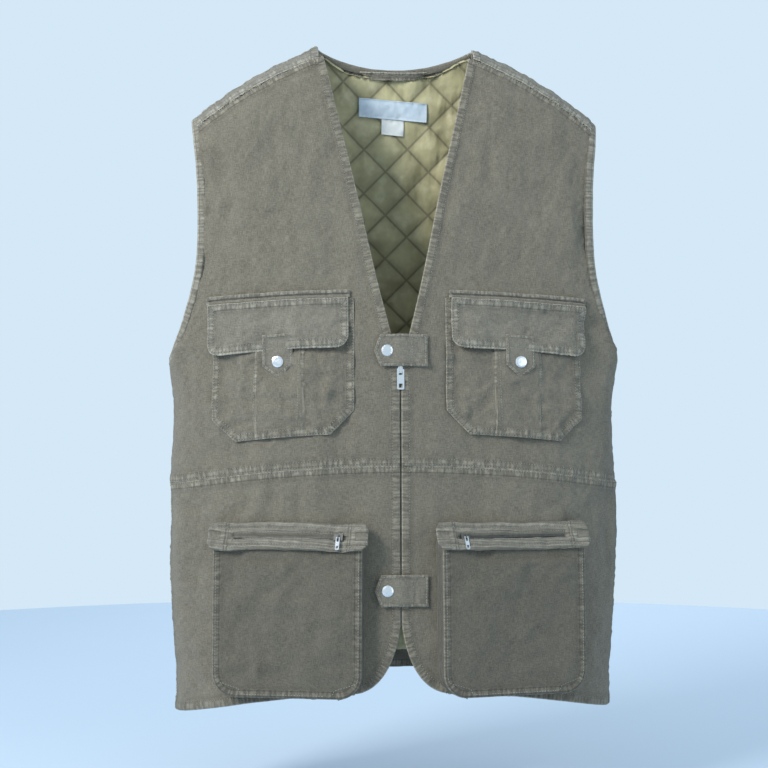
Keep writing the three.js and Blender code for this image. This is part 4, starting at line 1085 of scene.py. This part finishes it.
def boundEdge(name, ring, width, half, middle, side, nodeName, closed=True):
    # a folded strip sewn over the edge: oval in section, roped by its stitches
    turns = np.linspace(0, 1, 331) if closed else np.linspace(0.01, 0.99, 141)
    section = np.linspace(0, 2 * math.pi, 15)
    place = np.zeros((len(turns), len(section), 3))
    fields = {key: np.full(place.shape[:2], 60.0) for key in ("seamDouble", "seamSingle", "seamAlong")}
    uv = np.zeros((2, *place.shape[:2]))
    run, last = 0.0, None
    for j, turnShare in enumerate(turns):
        here, edgeward, n, along = ringFrame(ring, turnShare % 1)
        run += 0 if last is None else float(np.linalg.norm(here - last))
        last = here
        close = 1 if j in (0, len(turns) - 1) else 0
        swell = 1.0 if closed else math.sqrt(min(1.0, 0.34 * min(j, len(turns) - 1 - j)))   # rounded ends
        short, long = [0 if close else run / size for size in (5, 13)]
        rope = float(softNoise(short, 3, side + 3)) * 0.5 + float(softNoise(long, 1, 2)) * 0.45
        for i, a in enumerate(section):
            c, s = math.cos(a), math.sin(a)
            c, s = math.copysign(abs(c) ** 0.75, c), math.copysign(abs(s) ** 0.55, s)
            out = (swell * c - 1) * width / 2 + 0.35 * rope * swell
            up = swell * s * (half + 0.5 * rope * (1 - c) / 2) + middle
            place[j, i] = here + edgeward * out + n * up
            fields["seamSingle"][j, i] = 1.4 * (1 - c) if s > -0.2 else 20
            fields["seamDouble"][j, i] = abs(9.6 - 4.5 * (1 - c)) + 1.2 if s > 0 else 30
            fields["seamAlong"][j, i] = run
            uv[0][j, i], uv[1][j, i] = out / 1000 + 0.3 * s / 100, run / 1000
    if side < 0:
        place[..., 0] *= -1
    mesh = makeGrid(name, place, fields, uv, weld=True)
    piece = finishPiece(name, mesh, frontLinen)
    return dress(piece, "garment", "trim_cloth", nodeName)


for side, name in sideNames:
    boundEdge(f"{name}_arm_binding", armholeRing, cut["bindingWidth"], 3.0, -1.9, side,
              f"{name}_armhole_binding")


def insideBack(width, top, height, depth, slant=0.0, tilt=0.0, stand=0.0):
    def place(s, t):
        x = (2 * s - 1) * (width / 2 - slant * (1 - t))
        return at(x, -top - height * (1 - t) + tilt * (2 * s - 1), False)

    edges = (lambda t: place(0, t), lambda t: place(1, t), lambda s: place(s, 0), lambda s: place(s, 1))
    arc = lambda p: -stand * np.sin(math.pi * np.broadcast_to(p.s, p.x.shape)) ** 0.6
    return ClothPanel(edges, front=False, lift=-depth, step=1.6, extra=arc,
                      seams={"bottom": "tight", "top": "tight"})




def neckPath(turn):
    x = mix(nh - 0.6, 0.6 - nh, min(max((turn - 0.01) / 0.98, 0), 1))
    return at(x, min(neckEdge(x), float(ridge(x)) - 0.02), False)


boundEdge("neck_binding", neckPath, 8.5, 2.7, -1.0, 1, "back_neck_binding", closed=False)

panel = insideBack(80, cut["neckDip"] + 1, 9, 8.6, slant=11, stand=6.0)
piece = panel.build("loop_for_hanging", frontLinen, 1.3, inside=True)
dress(piece, "garment", "trim_cloth", "hanger_loop")
declare(piece, panel)

panel = insideBack(80, 52, 21, 11.6, tilt=-3.0)
piece = panel.build("blank_label", labelWeave, 0.6, inside=True)
dress(piece, "garment", "label", "neck_label")
declare(piece, panel)
panel = insideBack(26, 74, 17, 11.0, tilt=-1.2)
piece = panel.build("care_tag", tagWeave, 0.5, inside=True)
dress(piece, "garment", "label", "size_tag")
declare(piece, panel)
print("lining and bindings sewn")


# chest pockets

chest = {
    "centre": 129, "half": 78, "top": 288, "bottom": 438, "chamfer": 26, "pleat": 25.5, "pouch": 3.4,
    "flapCentre": pressed["tab"][0], "flapHalf": 77, "flapTop": 288, "flapBottom": 342,
    "flapRound": 12, "flapLift": 3.4,
    "tabHalf": 16.5, "tabAbove": 16, "tabBelow": 17, "tabPoint": 14, "tabAtSnap": 5.6, "snapBelow": 13,
    "welt": 8, "hingeHeight": 288.3, "hingeReach": 9,
}


def crease(panel, seed, size, height):
    bend = softNoise(panel.x / 30, panel.z / 30, seed + 4)
    return height * (softNoise(panel.x / size + bend, panel.z / size, seed)
                     + 0.5 * softNoise(panel.x / (0.45 * size) + bend, panel.z / (0.45 * size), seed + 1))


def hingeLine(name):
    joint = next(j for j in frame["record"]["behaviour"]["joints"] if j["name"] == name)
    return np.array(joint["pos_m"]) * 1000


for side, name in sideNames:
    centre = side * chest["centre"]

    def pouch(panel):
        s, t = np.broadcast_arrays(panel.s[None, :], panel.t[:, None])
        across = np.abs(panel.x - centre - side * 3)
        below = smoothstep(-panel.z, chest["flapBottom"] - 6, chest["flapBottom"] + 14)
        fold = (0.5 + 0.9 * below) * (1 - smoothstep(across, chest["pleat"] - 1.2, chest["pleat"] + 1.0))
        fold += 0.7 * below * bump(across - chest["pleat"] + 2, 3.5)
        fold -= 0.9 * (1 - below)
        swell = chest["pouch"] * (np.sin(math.pi * s) * np.sin(math.pi * np.clip(t * 0.92, 0, 1))) ** 0.55
        toFold = np.abs(across - chest["pleat"])
        panel.single = np.where(toFold < 2.6, toFold + 0.4, panel.single)
        stud = 1 - smoothstep(np.hypot(panel.x - side * chest["flapCentre"], panel.z + pressed["tab"][1]), 6, 17)
        return (fold + swell * below + crease(panel, 21 + side, 19, 2.5) * (0.22 + 0.75 * below)) * (1 - stud)

    edges = patchEdges(centre, chest["half"], chest["top"], chest["bottom"], chest["chamfer"], True)
    panel = ClothPanel(edges, lift=1.6, step=1.9, extra=pouch,
                       seams={"left": "double", "right": "double", "bottom": "double"})
    piece = panel.build(f"{name}_chest_pouch", shellLinen, 1.0)
    dress(piece, "garment", "shell_cloth", f"{name}_chest_pocket")
    declare(piece, panel)
    for edge in ("left", "right", "bottom"):
        panel.stitch("garment", edge, 1.8, 7.6)
    for across in (-chest["pleat"] + 1.5, chest["pleat"] - 1.5):
        column = int(np.argmin(np.abs(panel.x[-1] - centre - side * 3 - across)))
        line = panel.points[len(panel.t) // 5:-12:3, column]
        stitchPaths["garment"].append((line, panel.normalAlong(line), 0.25))

    flapCentre = side * chest["flapCentre"]
    edges = patchEdges(flapCentre, chest["flapHalf"], chest["flapTop"], chest["flapBottom"],
                       chest["flapRound"], False)
    body = f"{name}_flap"

    def flapShape(panel):
        t = np.broadcast_to(panel.t[:, None], panel.x.shape)
        snap = bump(panel.x - flapCentre, 18)
        lower = (1 - t) ** 1.5
        wave = softNoise(panel.x / 23, panel.z / 60, 33 + side)
        billow = lower * (3.6 * (1 - snap) * (0.75 + wave))
        return billow + crease(panel, 51 + side, 15, 1.7) * (1 - 0.7 * snap) + 0.8 * t**6

    panel = ClothPanel(edges, lift=chest["flapLift"] + 1.4, step=1.9, extra=flapShape,
                       seams={"left": "double", "right": "double", "bottom": "double", "top": "double"})
    piece = panel.build(f"{name}_flap_cover", frontLinen, 1.6)
    hinge = hingeLine(f"{name}_flap_lift")
    for edge in ("left", "right", "bottom"):
        panel.stitch(body, edge, 1.8, 7.6)
    panel.stitch("garment", "top", 2.2)
    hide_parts(f"{name}_chest_flap")
    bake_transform(piece)
    declare(piece, panel)

    low = -chest["flapTop"] + 0.4
    row = lambda z: (lambda s: on(flapCentre + (2 * s - 1) * (chest["flapHalf"] + 1), z))
    column = lambda sign: (lambda t: on(flapCentre + sign * (chest["flapHalf"] + 1), low + chest["welt"] * t))
    panel = ClothPanel((column(-1), column(1), row(low), row(low + chest["welt"])), lift=2.0, step=1.8,
                       seams={"top": "tight", "left": "tight", "right": "tight"})
    piece = panel.build(f"{name}_flap_welt", frontLinen, 1.4)
    dress(piece, "garment", "trim_cloth", f"{name}_chest_welt")
    declare(piece, panel)
    panel.stitch("garment", "top", 2.0)

    tabTop, tabLow = -chest["flapBottom"] + chest["tabAbove"], -chest["flapBottom"] - chest["tabBelow"]
    tabX = lambda s: flapCentre + (2 * s - 1) * chest["tabHalf"]
    edges = (lambda t: on(tabX(0), mix(tabLow, tabTop, t)), lambda t: on(tabX(1), mix(tabLow, tabTop, t)),
             lambda s: on(tabX(s), tabLow - chest["tabPoint"] * (1 - abs(2 * s - 1))),
             lambda s: on(tabX(s), tabTop))

    def tabShape(panel):
        snapZ = -chest["flapBottom"] - chest["snapBelow"]
        away = np.hypot(panel.x - flapCentre, panel.z - float(drag(flapCentre, snapZ)))
        press = smoothstep(away, 7, 15)
        rise = 5.0 + 0.6 * smoothstep(panel.z, float(drag(flapCentre, -chest["flapBottom"])), tabTop)
        return mix(chest["tabAtSnap"], rise + 0.6, press) + crease(panel, 71 + side, 9, 0.5) * press

    panel = ClothPanel(edges, lift=0.9, step=1.3, extra=tabShape,
                       seams={"left": "tight", "right": "tight", "bottom": "tight", "top": "tight"})
    piece = panel.build(f"{name}_flap_tab", frontLinen, 1.2)
    dress(piece, body, "trim_cloth", f"{name}_chest_tab")
    declare(piece, panel)
    for edge in ("left", "right", "bottom"):
        panel.stitch(body, edge, 2.4, lift=0.3, trim=3)
    panel.stitch(body, "top", 2.4, lift=0.3, trim=3)
print("chest pockets sewn")


# front straps

strap = {
    "half": 17.5, "tip": 29, "shoulder": 17, "patchEnd": 30,
    "heights": dict(zip(("upper", "lower"), pressed["straps"])), "snapX": -15,
}
strapRise = through([(-29, 3.4), (-21.5, 4.2), (-15, 4.3), (-8.5, 4.3), (-3, 5.3),
                     (2, 5.3), (6.1, 4.4), (9.8, 3.2), (15, 2.2), (30, 2.0)])

for name, middle in strap["heights"].items():
    spot = lambda x, t: on(x, -middle + (2 * t - 1) * strap["half"])
    tipX = lambda t: -strap["tip"] + abs(2 * t - 1) ** 1.15 * (strap["tip"] - strap["shoulder"] - 5)
    edges = (lambda t: spot(tipX(t), t), lambda t: spot(strap["patchEnd"], t),
             lambda s: spot(mix(tipX(0), strap["patchEnd"], s), 0),
             lambda s: spot(mix(tipX(1), strap["patchEnd"], s), 1))

    def strapShape(panel):
        sewn = smoothstep(panel.x, 6, 14)
        away = smoothstep(np.hypot(panel.x - strap["snapX"], panel.z + middle), 7, 13)
        ripple = softNoise(panel.x / 4.2, panel.z / 15, 91) + 0.7 * softNoise(panel.x / 2.6, panel.z / 9, 92)
        cross = softNoise(panel.x / 10, panel.z / 4, 93)
        sides = bump(np.abs(panel.z + middle) - strap["half"] + 2.2, 3.0)
        return (strapRise(panel.x) + 1.4 + away * (0.45 * ripple * sewn + 0.3 * cross)
                + 0.55 * ripple * away * sides)

    panel = ClothPanel(edges, step=1.2, foldShare=0.5, extra=strapShape,
                       seams={"left": "tight", "right": "tight", "bottom": "tight", "top": "tight"})
    piece = panel.build(f"{name}_front_strap", frontLinen, 1.3)
    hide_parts(f"{name}_strap", f"{name}_strap_patch")
    hinge = hingeLine(f"{name}_strap_swing")
    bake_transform(piece)
    declare(piece, panel)
    panel.stitch("garment", "right", 2.4, lift=0.3, trim=3)
    panel.stitch(f"{name}_closure", "left", 2.4, lift=0.3, trim=3)
    for edge in ("bottom", "top"):
        line = panel.row(edge, 2.4, 3)
        keep = line[line[:, 0] > 12.5]
        stitchPaths["garment"].append((keep, panel.normalAlong(keep), 0.3))
        keep = line[line[:, 0] < -1]
        stitchPaths[f"{name}_closure"].append((keep, panel.normalAlong(keep), 0.3))
    line = np.array([panel.points[k, int(np.argmin(np.abs(panel.x[k] - 12.5)))]
                     for k in range(4, len(panel.t) - 4)])
    stitchPaths["garment"].append((line, panel.normalAlong(line), 0.3))
print("straps sewn")


# cargo pockets

bag = {
    "centre": pressed["bag"][0], "middle": pressed["bag"][1],
    "half": 84, "height": 160, "round": 26, "depth": 20, "belly": 5.0,
    "bandHalf": 88, "bandHeight": 34, "bandOut": 23.2, "bandClip": 8, "bandBase": 80.5,
    "zipHalf": 62, "slot": 17, "rowOff": 10.6, "stitchIn": 3.6, "toothPitch": 1.7,
}


class LocalFrame:
    # the flat frame that a cargo pocket is sewn in: across, out of the cloth, and up
    def __init__(self, x, z):
        phi, u = on(x, z)
        self.n = normalAt(phi, u)
        self.across = unit(np.cross([0, 0, 1], self.n))
        self.up = unit(np.cross(self.across, -self.n))
        self.origin = shell(phi, u)

    def point(self, across, out, up):
        across, out, up = [np.asarray(v, float)[..., None] for v in np.broadcast_arrays(across, out, up)]
        return self.origin + self.across * across + self.n * out + self.up * up

    def local(self, p):
        d = p - self.origin
        return d @ self.across, d @ self.n, d @ self.up

    def cloth(self, x, z):
        # how far the vest's cloth stands from this flat frame below a point
        found = np.array([at(*self.point(a, 0, b)[[0, 2]]) for a, b in zip(np.ravel(x), np.ravel(z))])
        p = shell(found[:, 0], found[:, 1])
        return self.local(p)[1].reshape(np.shape(x))


def bagOutline(t, half, low, high, radius):
    # half width of the rounded-foot outline at a height share
    z = mix(low, high, t)
    drop = np.clip((low + radius - z) / radius, 0, 1)
    return z, half - radius * (1 - np.sqrt(1 - drop**2))


def flatPiece(name, points, material, thick, outward, double=None, single=None, ladder=0.0):
    shape = points.shape[:2]
    blank = np.full(shape, 60.0)
    across = np.linalg.norm(np.diff(points, axis=1, prepend=points[:, :1]), axis=2).cumsum(axis=1)
    along = np.linalg.norm(np.diff(points, axis=0, prepend=points[:1]), axis=2).cumsum(axis=0)
    fields = {"seamDouble": blank if double is None else double,
              "seamSingle": blank if single is None else single, "seamAlong": ladder + 0 * blank}
    mesh = makeGrid(name, points, fields, (across / 1000, along / 1000), outward)
    piece = finishPiece(name, mesh, material)
    thicken(piece, thick)
    cells = np.cross(np.diff(points, axis=1)[:-1], np.diff(points, axis=0)[:, :-1])
    flatArea = np.linalg.norm(cells, axis=2).sum() / 1e6
    return piece, (across[:, -1].mean() / 1000, along[-1].mean() / 1000, float(flatArea))


def declareFlat(piece, measured):
    wide, tall, full = measured
    grow = max(1.02, math.sqrt(full / (wide * tall)) * 1.02)
    wide, tall = max(wide * grow, 0.0105), max(tall * grow, 0.0105)
    round(max(full, 0.305 * wide * tall), 5)


def zipTeeth(name, count, corner):
    # small blocks; corner(k, c) says where corner c of the k-th unit cube goes, in mm
    mesh = bmesh.new()
    for k in range(count):
        for v in bmesh.ops.create_cube(mesh, size=1.0)["verts"]:
            v.co = Vector(corner(k, v.co.copy())) / 1000
    made = bpy.data.meshes.new(name)
    bmesh.ops.recalc_face_normals(mesh, faces=mesh.faces)
    mesh.to_mesh(made)
    mesh.free()
    piece = finishPiece(name, made, zipAlloy)
    made.polygons.foreach_set("use_smooth", [False] * len(made.polygons))
    return piece


def stitchLine(body, line, n, lift=0.3):
    stitchPaths.setdefault(body, []).append((line, np.repeat(n[None], len(line), 0), lift))


for side, name in sideNames:
    local = LocalFrame(side * bag["centre"], -bag["middle"])
    low, high = -bag["height"] / 2, bag["height"] / 2
    tRows = (1 - np.cos(np.linspace(0, math.pi / 2, 15))) * bag["round"] / bag["height"]
    tRows = np.concatenate([tRows[:-1], np.linspace(tRows[-1], 1.03, 62)])   # closer together round the foot
    z, halfAt = bagOutline(np.minimum(tRows, 1), bag["half"], low, high, bag["round"])
    z = mix(low, high, tRows)
    s = spaced(2 * bag["half"], 2.6) * 2 - 1
    x = s[None, :] * (halfAt[:, None] - 1.2)
    zz = np.broadcast_to(z[:, None], x.shape)
    rim = np.stack([x, zz], axis=-1)
    outline = np.concatenate([rim[::-1, 0], rim[0], rim[:, -1]])
    flat = lambda p: np.concatenate([p, np.zeros((*p.shape[:-1], 1))], axis=-1)
    edgeD, edgeA = edgeField(flat(rim), flat(outline)[1:])
    seed = 120 + 9 * side
    centreShare = np.clip((zz - low) / bag["height"], 0, 1)
    belly = bag["belly"] * np.sin(math.pi * (centreShare * 0.82 + 0.02))
    belly = belly * (1 - np.square(x / bag["half"])) ** 0.7
    bend = softNoise(x / 40, zz / 40, seed + 3)
    sag = (3.4 * softNoise(x / 60, zz / 75, seed) + 2.3 * softNoise(x / 24 + bend, zz / 40, seed + 1)
           + 1.5 * softNoise(x / 11 + bend, zz / 13, seed + 2)
           + 1.6 * softNoise(x / 90 + zz / 55, zz / 26, seed + 5) * smoothstep(centreShare, 0.55, 0.95))
    rope = softNoise(edgeA / 4.4, edgeD / 26, seed + 4)
    out = (bag["depth"] - 2.4 + belly + sag * smoothstep(edgeD, 2, 30) + 0.9 * rope * bump(edgeD - 4, 6)
           + 1.3 * bump(edgeD - 2.2, 2.2) - 1.2 * (1 - smoothstep(edgeD, 0, 1.4)))
    out = np.where(centreShare > 0.93, np.minimum(out, bag["depth"] - 0.5), out)
    face = local.point(x, out, zz)
    piece, size = flatPiece(f"{name}_bag_face", face, bagLinen, 1.5, local.n, double=edgeD, ladder=edgeA)
    dress(piece, "garment", "shell_cloth", f"{name}_cargo_pocket")
    declareFlat(piece, size)

    # the gusset runs round the sides and foot, from the face back to the vest
    ring = outline[4:-4]
    ringOut = np.concatenate([out[::-1, 0], out[0], out[:, -1]])[4:-4]
    lean = math.atan2(bag["depth"] - 0.4, bag["bandHeight"])
    up2, out2 = math.cos(lean), -math.sin(lean)
    wingZ = np.linspace(ring[0, 1] + 2, bag["bandBase"] + up2 * (bag["bandHeight"] - 1), 12)
    wingOut = np.minimum(ringOut[0], bag["bandOut"] - 2.0 + out2 * np.maximum(wingZ - bag["bandBase"], 0) / up2)
    wing = lambda sign: np.stack([np.full(12, sign * abs(ring[0, 0])), wingZ], axis=-1)
    ring = np.concatenate([wing(-1)[::-1], ring, wing(1)])
    ringOut = np.concatenate([wingOut[::-1], ringOut, wingOut])
    length = np.concatenate([[0], np.cumsum(np.linalg.norm(np.diff(ring, axis=0), axis=1))])
    depthShare = np.linspace(0, 1, 13)
    pinch = np.sin(math.pi * depthShare)[:, None]
    inward = unit(np.stack([-ring[:, 0], -ring[:, 1] - 20], axis=-1))
    baseOut = local.cloth(ring[:, 0], ring[:, 1]) + 0.7
    wob = (2.0 * softNoise(length[None, :] / 24, depthShare[:, None] * 2, seed + 6)
           + 0.8 * softNoise(length[None, :] / 8, depthShare[:, None] * 3, seed + 7) + 1.8)
    gx = ring[None, :, 0] + inward[None, :, 0] * pinch * wob
    gz = ring[None, :, 1] + inward[None, :, 1] * pinch * wob
    gOut = mix(np.maximum(ringOut - 0.8, baseOut + 0.3)[None, :], baseOut[None, :], depthShare[:, None])
    gusset = local.point(gx, gOut, gz)
    toFold = np.minimum(depthShare[:, None], 1 - depthShare[:, None]) * bag["depth"] + 0 * gx
    piece, size = flatPiece(f"{name}_bag_gusset", gusset[:, ::-1], bagLinen, 1.3, None, double=toFold)
    normal = piece.data.polygons[len(depthShare) // 2].normal
    if Vector(local.across * np.sign(ring[-1, 0])).dot(normal) < 0:
        piece.data.flip_normals()
    dress(piece, "garment", "shell_cloth")
    declareFlat(piece, size)

    def beside(d, fields, places, outs):
        return np.interp(d, fields, places), np.interp(d, fields, outs)

    line = []
    for k in range(len(z) - 1, 10, -1):
        across, height = beside(bag["stitchIn"], edgeD[k, :20], x[k, :20], out[k, :20])
        line.append([across, zz[k, 0], height])
    for k in range(4, x.shape[1] - 4):
        up, height = beside(bag["stitchIn"], edgeD[:20, k], zz[:20, k], out[:20, k])
        line.append([x[0, k], up, height])
    for k in range(11, len(z)):
        across, height = beside(bag["stitchIn"], edgeD[k, :-21:-1], x[k, :-21:-1], out[k, :-21:-1])
        line.append([across, zz[k, 0], height])
    line = np.array(line)
    stitchLine("garment", local.point(line[:, 0], line[:, 2], line[:, 1]), local.n)

    # the zip band leans over the bag's mouth: two rolled lips and a sunk zip between clipped corners
    def bandPoint(a, o, h):
        return local.point(a, bag["bandOut"] + out2 * h + up2 * o, bag["bandBase"] + up2 * h - out2 * o)

    h = spaced(bag["bandHeight"], 1.25) * bag["bandHeight"]
    s = spaced(2 * bag["bandHalf"], 2.0) * 2 - 1
    clip = np.clip((np.minimum(h, bag["bandHeight"] - h)) / bag["bandClip"], 0, 1)
    a = s[None, :] * (bag["bandHalf"] + 1 - (bag["bandClip"] - 1) * (1 - clip[:, None]) * 0.8)
    hh = h[:, None] + 0 * a
    wander = 2.2 * softNoise(a / 42, 1, seed + 8) + 0.7 * softNoise(a / 17, 2, seed + 9)
    offZip, inside = np.abs(hh - bag["slot"]), np.abs(a) - bag["zipHalf"]
    inSlot = (1 - smoothstep(offZip, 1.3, 2.7)) * (1 - smoothstep(inside, 1, 5))
    lips = 1.5 * bump(offZip - 6.4, 2.9)
    rows = -0.7 * bump(offZip - bag["rowOff"], 1.3)
    level = np.minimum(hh, bag["bandHeight"] - hh)
    edges = 1.1 * bump(level - 2.4, 2.6) + 0.9 * bump(bag["bandHalf"] - np.abs(a) - 2.4, 2.6)
    ends = smoothstep(inside, 5, 7)
    rim = np.minimum(level, bag["bandHalf"] + 1 - np.abs(a))
    crumpled = (softNoise(a / 9, hh / 9, seed + 10) + 0.8 * softNoise(a / 4.2, hh / 6, seed + 11)
                + 0.35 * softNoise(a / 2.8, hh / 3, seed + 12))
    o = wander + (crumpled + lips + rows + edges + ends) * (1 - inSlot) - 3.6 * inSlot
    o = (o - (1 - smoothstep(rim, 0, 1.6))) * (1 - 0.75 * inSlot) - 2.4 * inSlot
    points = bandPoint(a, o, hh + 1.7 * softNoise(a / 30, 5, seed + 13))
    nBand = unit(local.n * up2 - local.up * out2)
    double = np.minimum(np.abs(offZip - bag["rowOff"]) + 1.8, np.abs(inside - 6) + 0.4)
    single = rim * 2.6 + 60 * smoothstep(rim, 2, 6)
    piece, size = flatPiece(f"{name}_zip_band", points, frontLinen, 1.5, nBand,
                            double=double, single=single, ladder=hh * 1.9 + a * 0.09)
    dress(piece, "garment", "trim_cloth", f"{name}_cargo_band")
    declareFlat(piece, size)
    for height in (2.6, bag["slot"] - bag["rowOff"], bag["slot"] + bag["rowOff"], bag["bandHeight"] - 2.6,
                   bag["slot"] - 3.9, bag["slot"] + 3.9):
        k = int(np.argmin(np.abs(h - height)))
        reach = 5 if abs(height - bag["slot"]) > 5 else int(np.argmax(a[k] > -bag["zipHalf"] - 3))
        stitchLine("garment", points[k, reach:-reach], nBand)

    def bagTooth(k, c):
        sign = -1 if k % 2 == 0 else 1
        along = -bag["zipHalf"] + (k // 2 + (0.25 if sign > 0 else 0.75)) * bag["toothPitch"]
        return bandPoint(along + 0.95 * c.x * (1.1 if c.y * sign < 0 else 0.8), -1.9 + 1.3 * c.z,
                         bag["slot"] + sign * 0.75 + 2.1 * c.y)

    piece = zipTeeth(f"{name}_bag_zip", 2 * int(2 * bag["zipHalf"] / bag["toothPitch"]), bagTooth)
    dress(piece, "garment", "zip_metal", f"{name}_cargo_zip")
print("cargo pockets sewn")


# front zip, under the two front edges

zipSizes = {"top": cut["zipTop"], "bottom": cut["zipBottom"], "tape": 13.5, "inward": 3.0, "pitch": 2.1}
zipLine = lambda z: -frontDepth(z)

for side, name in sideNames:
    z = np.linspace(-zipSizes["top"] - 1, -zipSizes["bottom"] + 1, 130)[:, None]
    x = side * np.linspace(1.2, zipSizes["tape"], 9)[None, :]
    y = zipLine(z) + zipSizes["inward"] + 0.12 * softNoise(x, z / 6, 140)
    place = np.stack([x + 0 * z, y, z + 0 * x], axis=-1)
    piece, size = flatPiece(f"{name}_front_zip_tape", place, zipCloth, 0.7, (0, -1, 0))
    dress(piece, "garment", "zip_tape", f"{name}_zip_tape")
    declareFlat(piece, size)

    def frontTooth(k, c):
        height = -zipSizes["top"] - 1.5 - (k + (0.5 if side > 0 else 0.0)) * zipSizes["pitch"]
        narrow = 0.75 if c.x * side < 0 else 1.1
        return (side * 1.1 + 2.5 * c.x, float(zipLine(height)) + 2.6 + 1.9 * c.y * narrow,
                height + c.z * narrow)

    count = int((zipSizes["bottom"] - zipSizes["top"]) / zipSizes["pitch"])
    piece = zipTeeth(f"{name}_front_zip_teeth", count, frontTooth)
    dress(piece, "garment", "zip_metal")

for height in (468, 470.4):     # bartack beside the front edges
    across = np.linspace(-8.2, -1.6, 5)
    tack = on(across, np.full(5, -float(height)))
    normals = normalAt(tack[:, 0], tack[:, 1])
    lift = folds(across, -float(height), True)
    line = shell(tack[:, 0], tack[:, 1]) + normals * (lift[:, None] + 1.2)
    stitchPaths["garment"].append((line, normals, 0.3))
print("front zip sewn")


# metal

steelNodes = [f"{end}_{part}" for end in ("left_chest", "right_chest", "upper_strap", "lower_strap")
              for part in ("snap_stud", "snap_socket", "snap_cap")]
steelNodes += ["front_zip_slider", "front_zip_pull", "right_cargo_pull", "left_cargo_pull"]
for nodeName, metalFinish in [(n, brightSteel) for n in steelNodes] + [
        (n, zipAlloy) for n in ("zip_box", "right_cargo_slider", "left_cargo_slider")]:
    node = bpy.data.objects[nodeName]
    node.data.materials.clear()
    node.data.materials.append(metalFinish)


# stitches

def sewThread():
    template = bmesh.new()
    bmesh.ops.create_icosphere(template, subdivisions=1, radius=1.0)
    single = bpy.data.meshes.new("stitch")
    template.to_mesh(single)
    template.free()
    shape = np.array([v.co for v in single.vertices])
    for body, paths in stitchPaths.items():
        mesh = bmesh.new()
        places = []
        for line, normals, lift in paths:
            run = np.concatenate([[0], np.cumsum(np.linalg.norm(np.diff(line, axis=0), axis=1))])
            for a in np.arange(stitching["pitch"] / 2, run[-1], stitching["pitch"]):
                k = [np.array([np.interp(v, run, line[:, c]) for c in range(3)]) for v in (a - 0.6, a, a + 0.6)]
                along = unit(k[2] - k[0])
                n = unit(np.array([np.interp(a, run, normals[:, c]) for c in range(3)]))
                side = unit(np.cross(n, along))
                n = np.cross(along, side)
                mesh.from_mesh(single)
                axes = np.array([along * stitching["length"], side * stitching["width"],
                                 n * stitching["height"]]) / 2
                places.append(k[1] + n * lift + shape @ axes)
        points = np.concatenate(places) / 1000
        for v, p in zip(mesh.verts, points):
            v.co = p
        made = bpy.data.meshes.new(f"{body}_stitches")
        mesh.to_mesh(made)
        mesh.free()
        piece = finishPiece(f"{body}_stitches", made, thread)
        dress(piece, body, "trim_cloth")
        print(body, "stitches", len(places))
    bpy.data.meshes.remove(single)


sewThread()
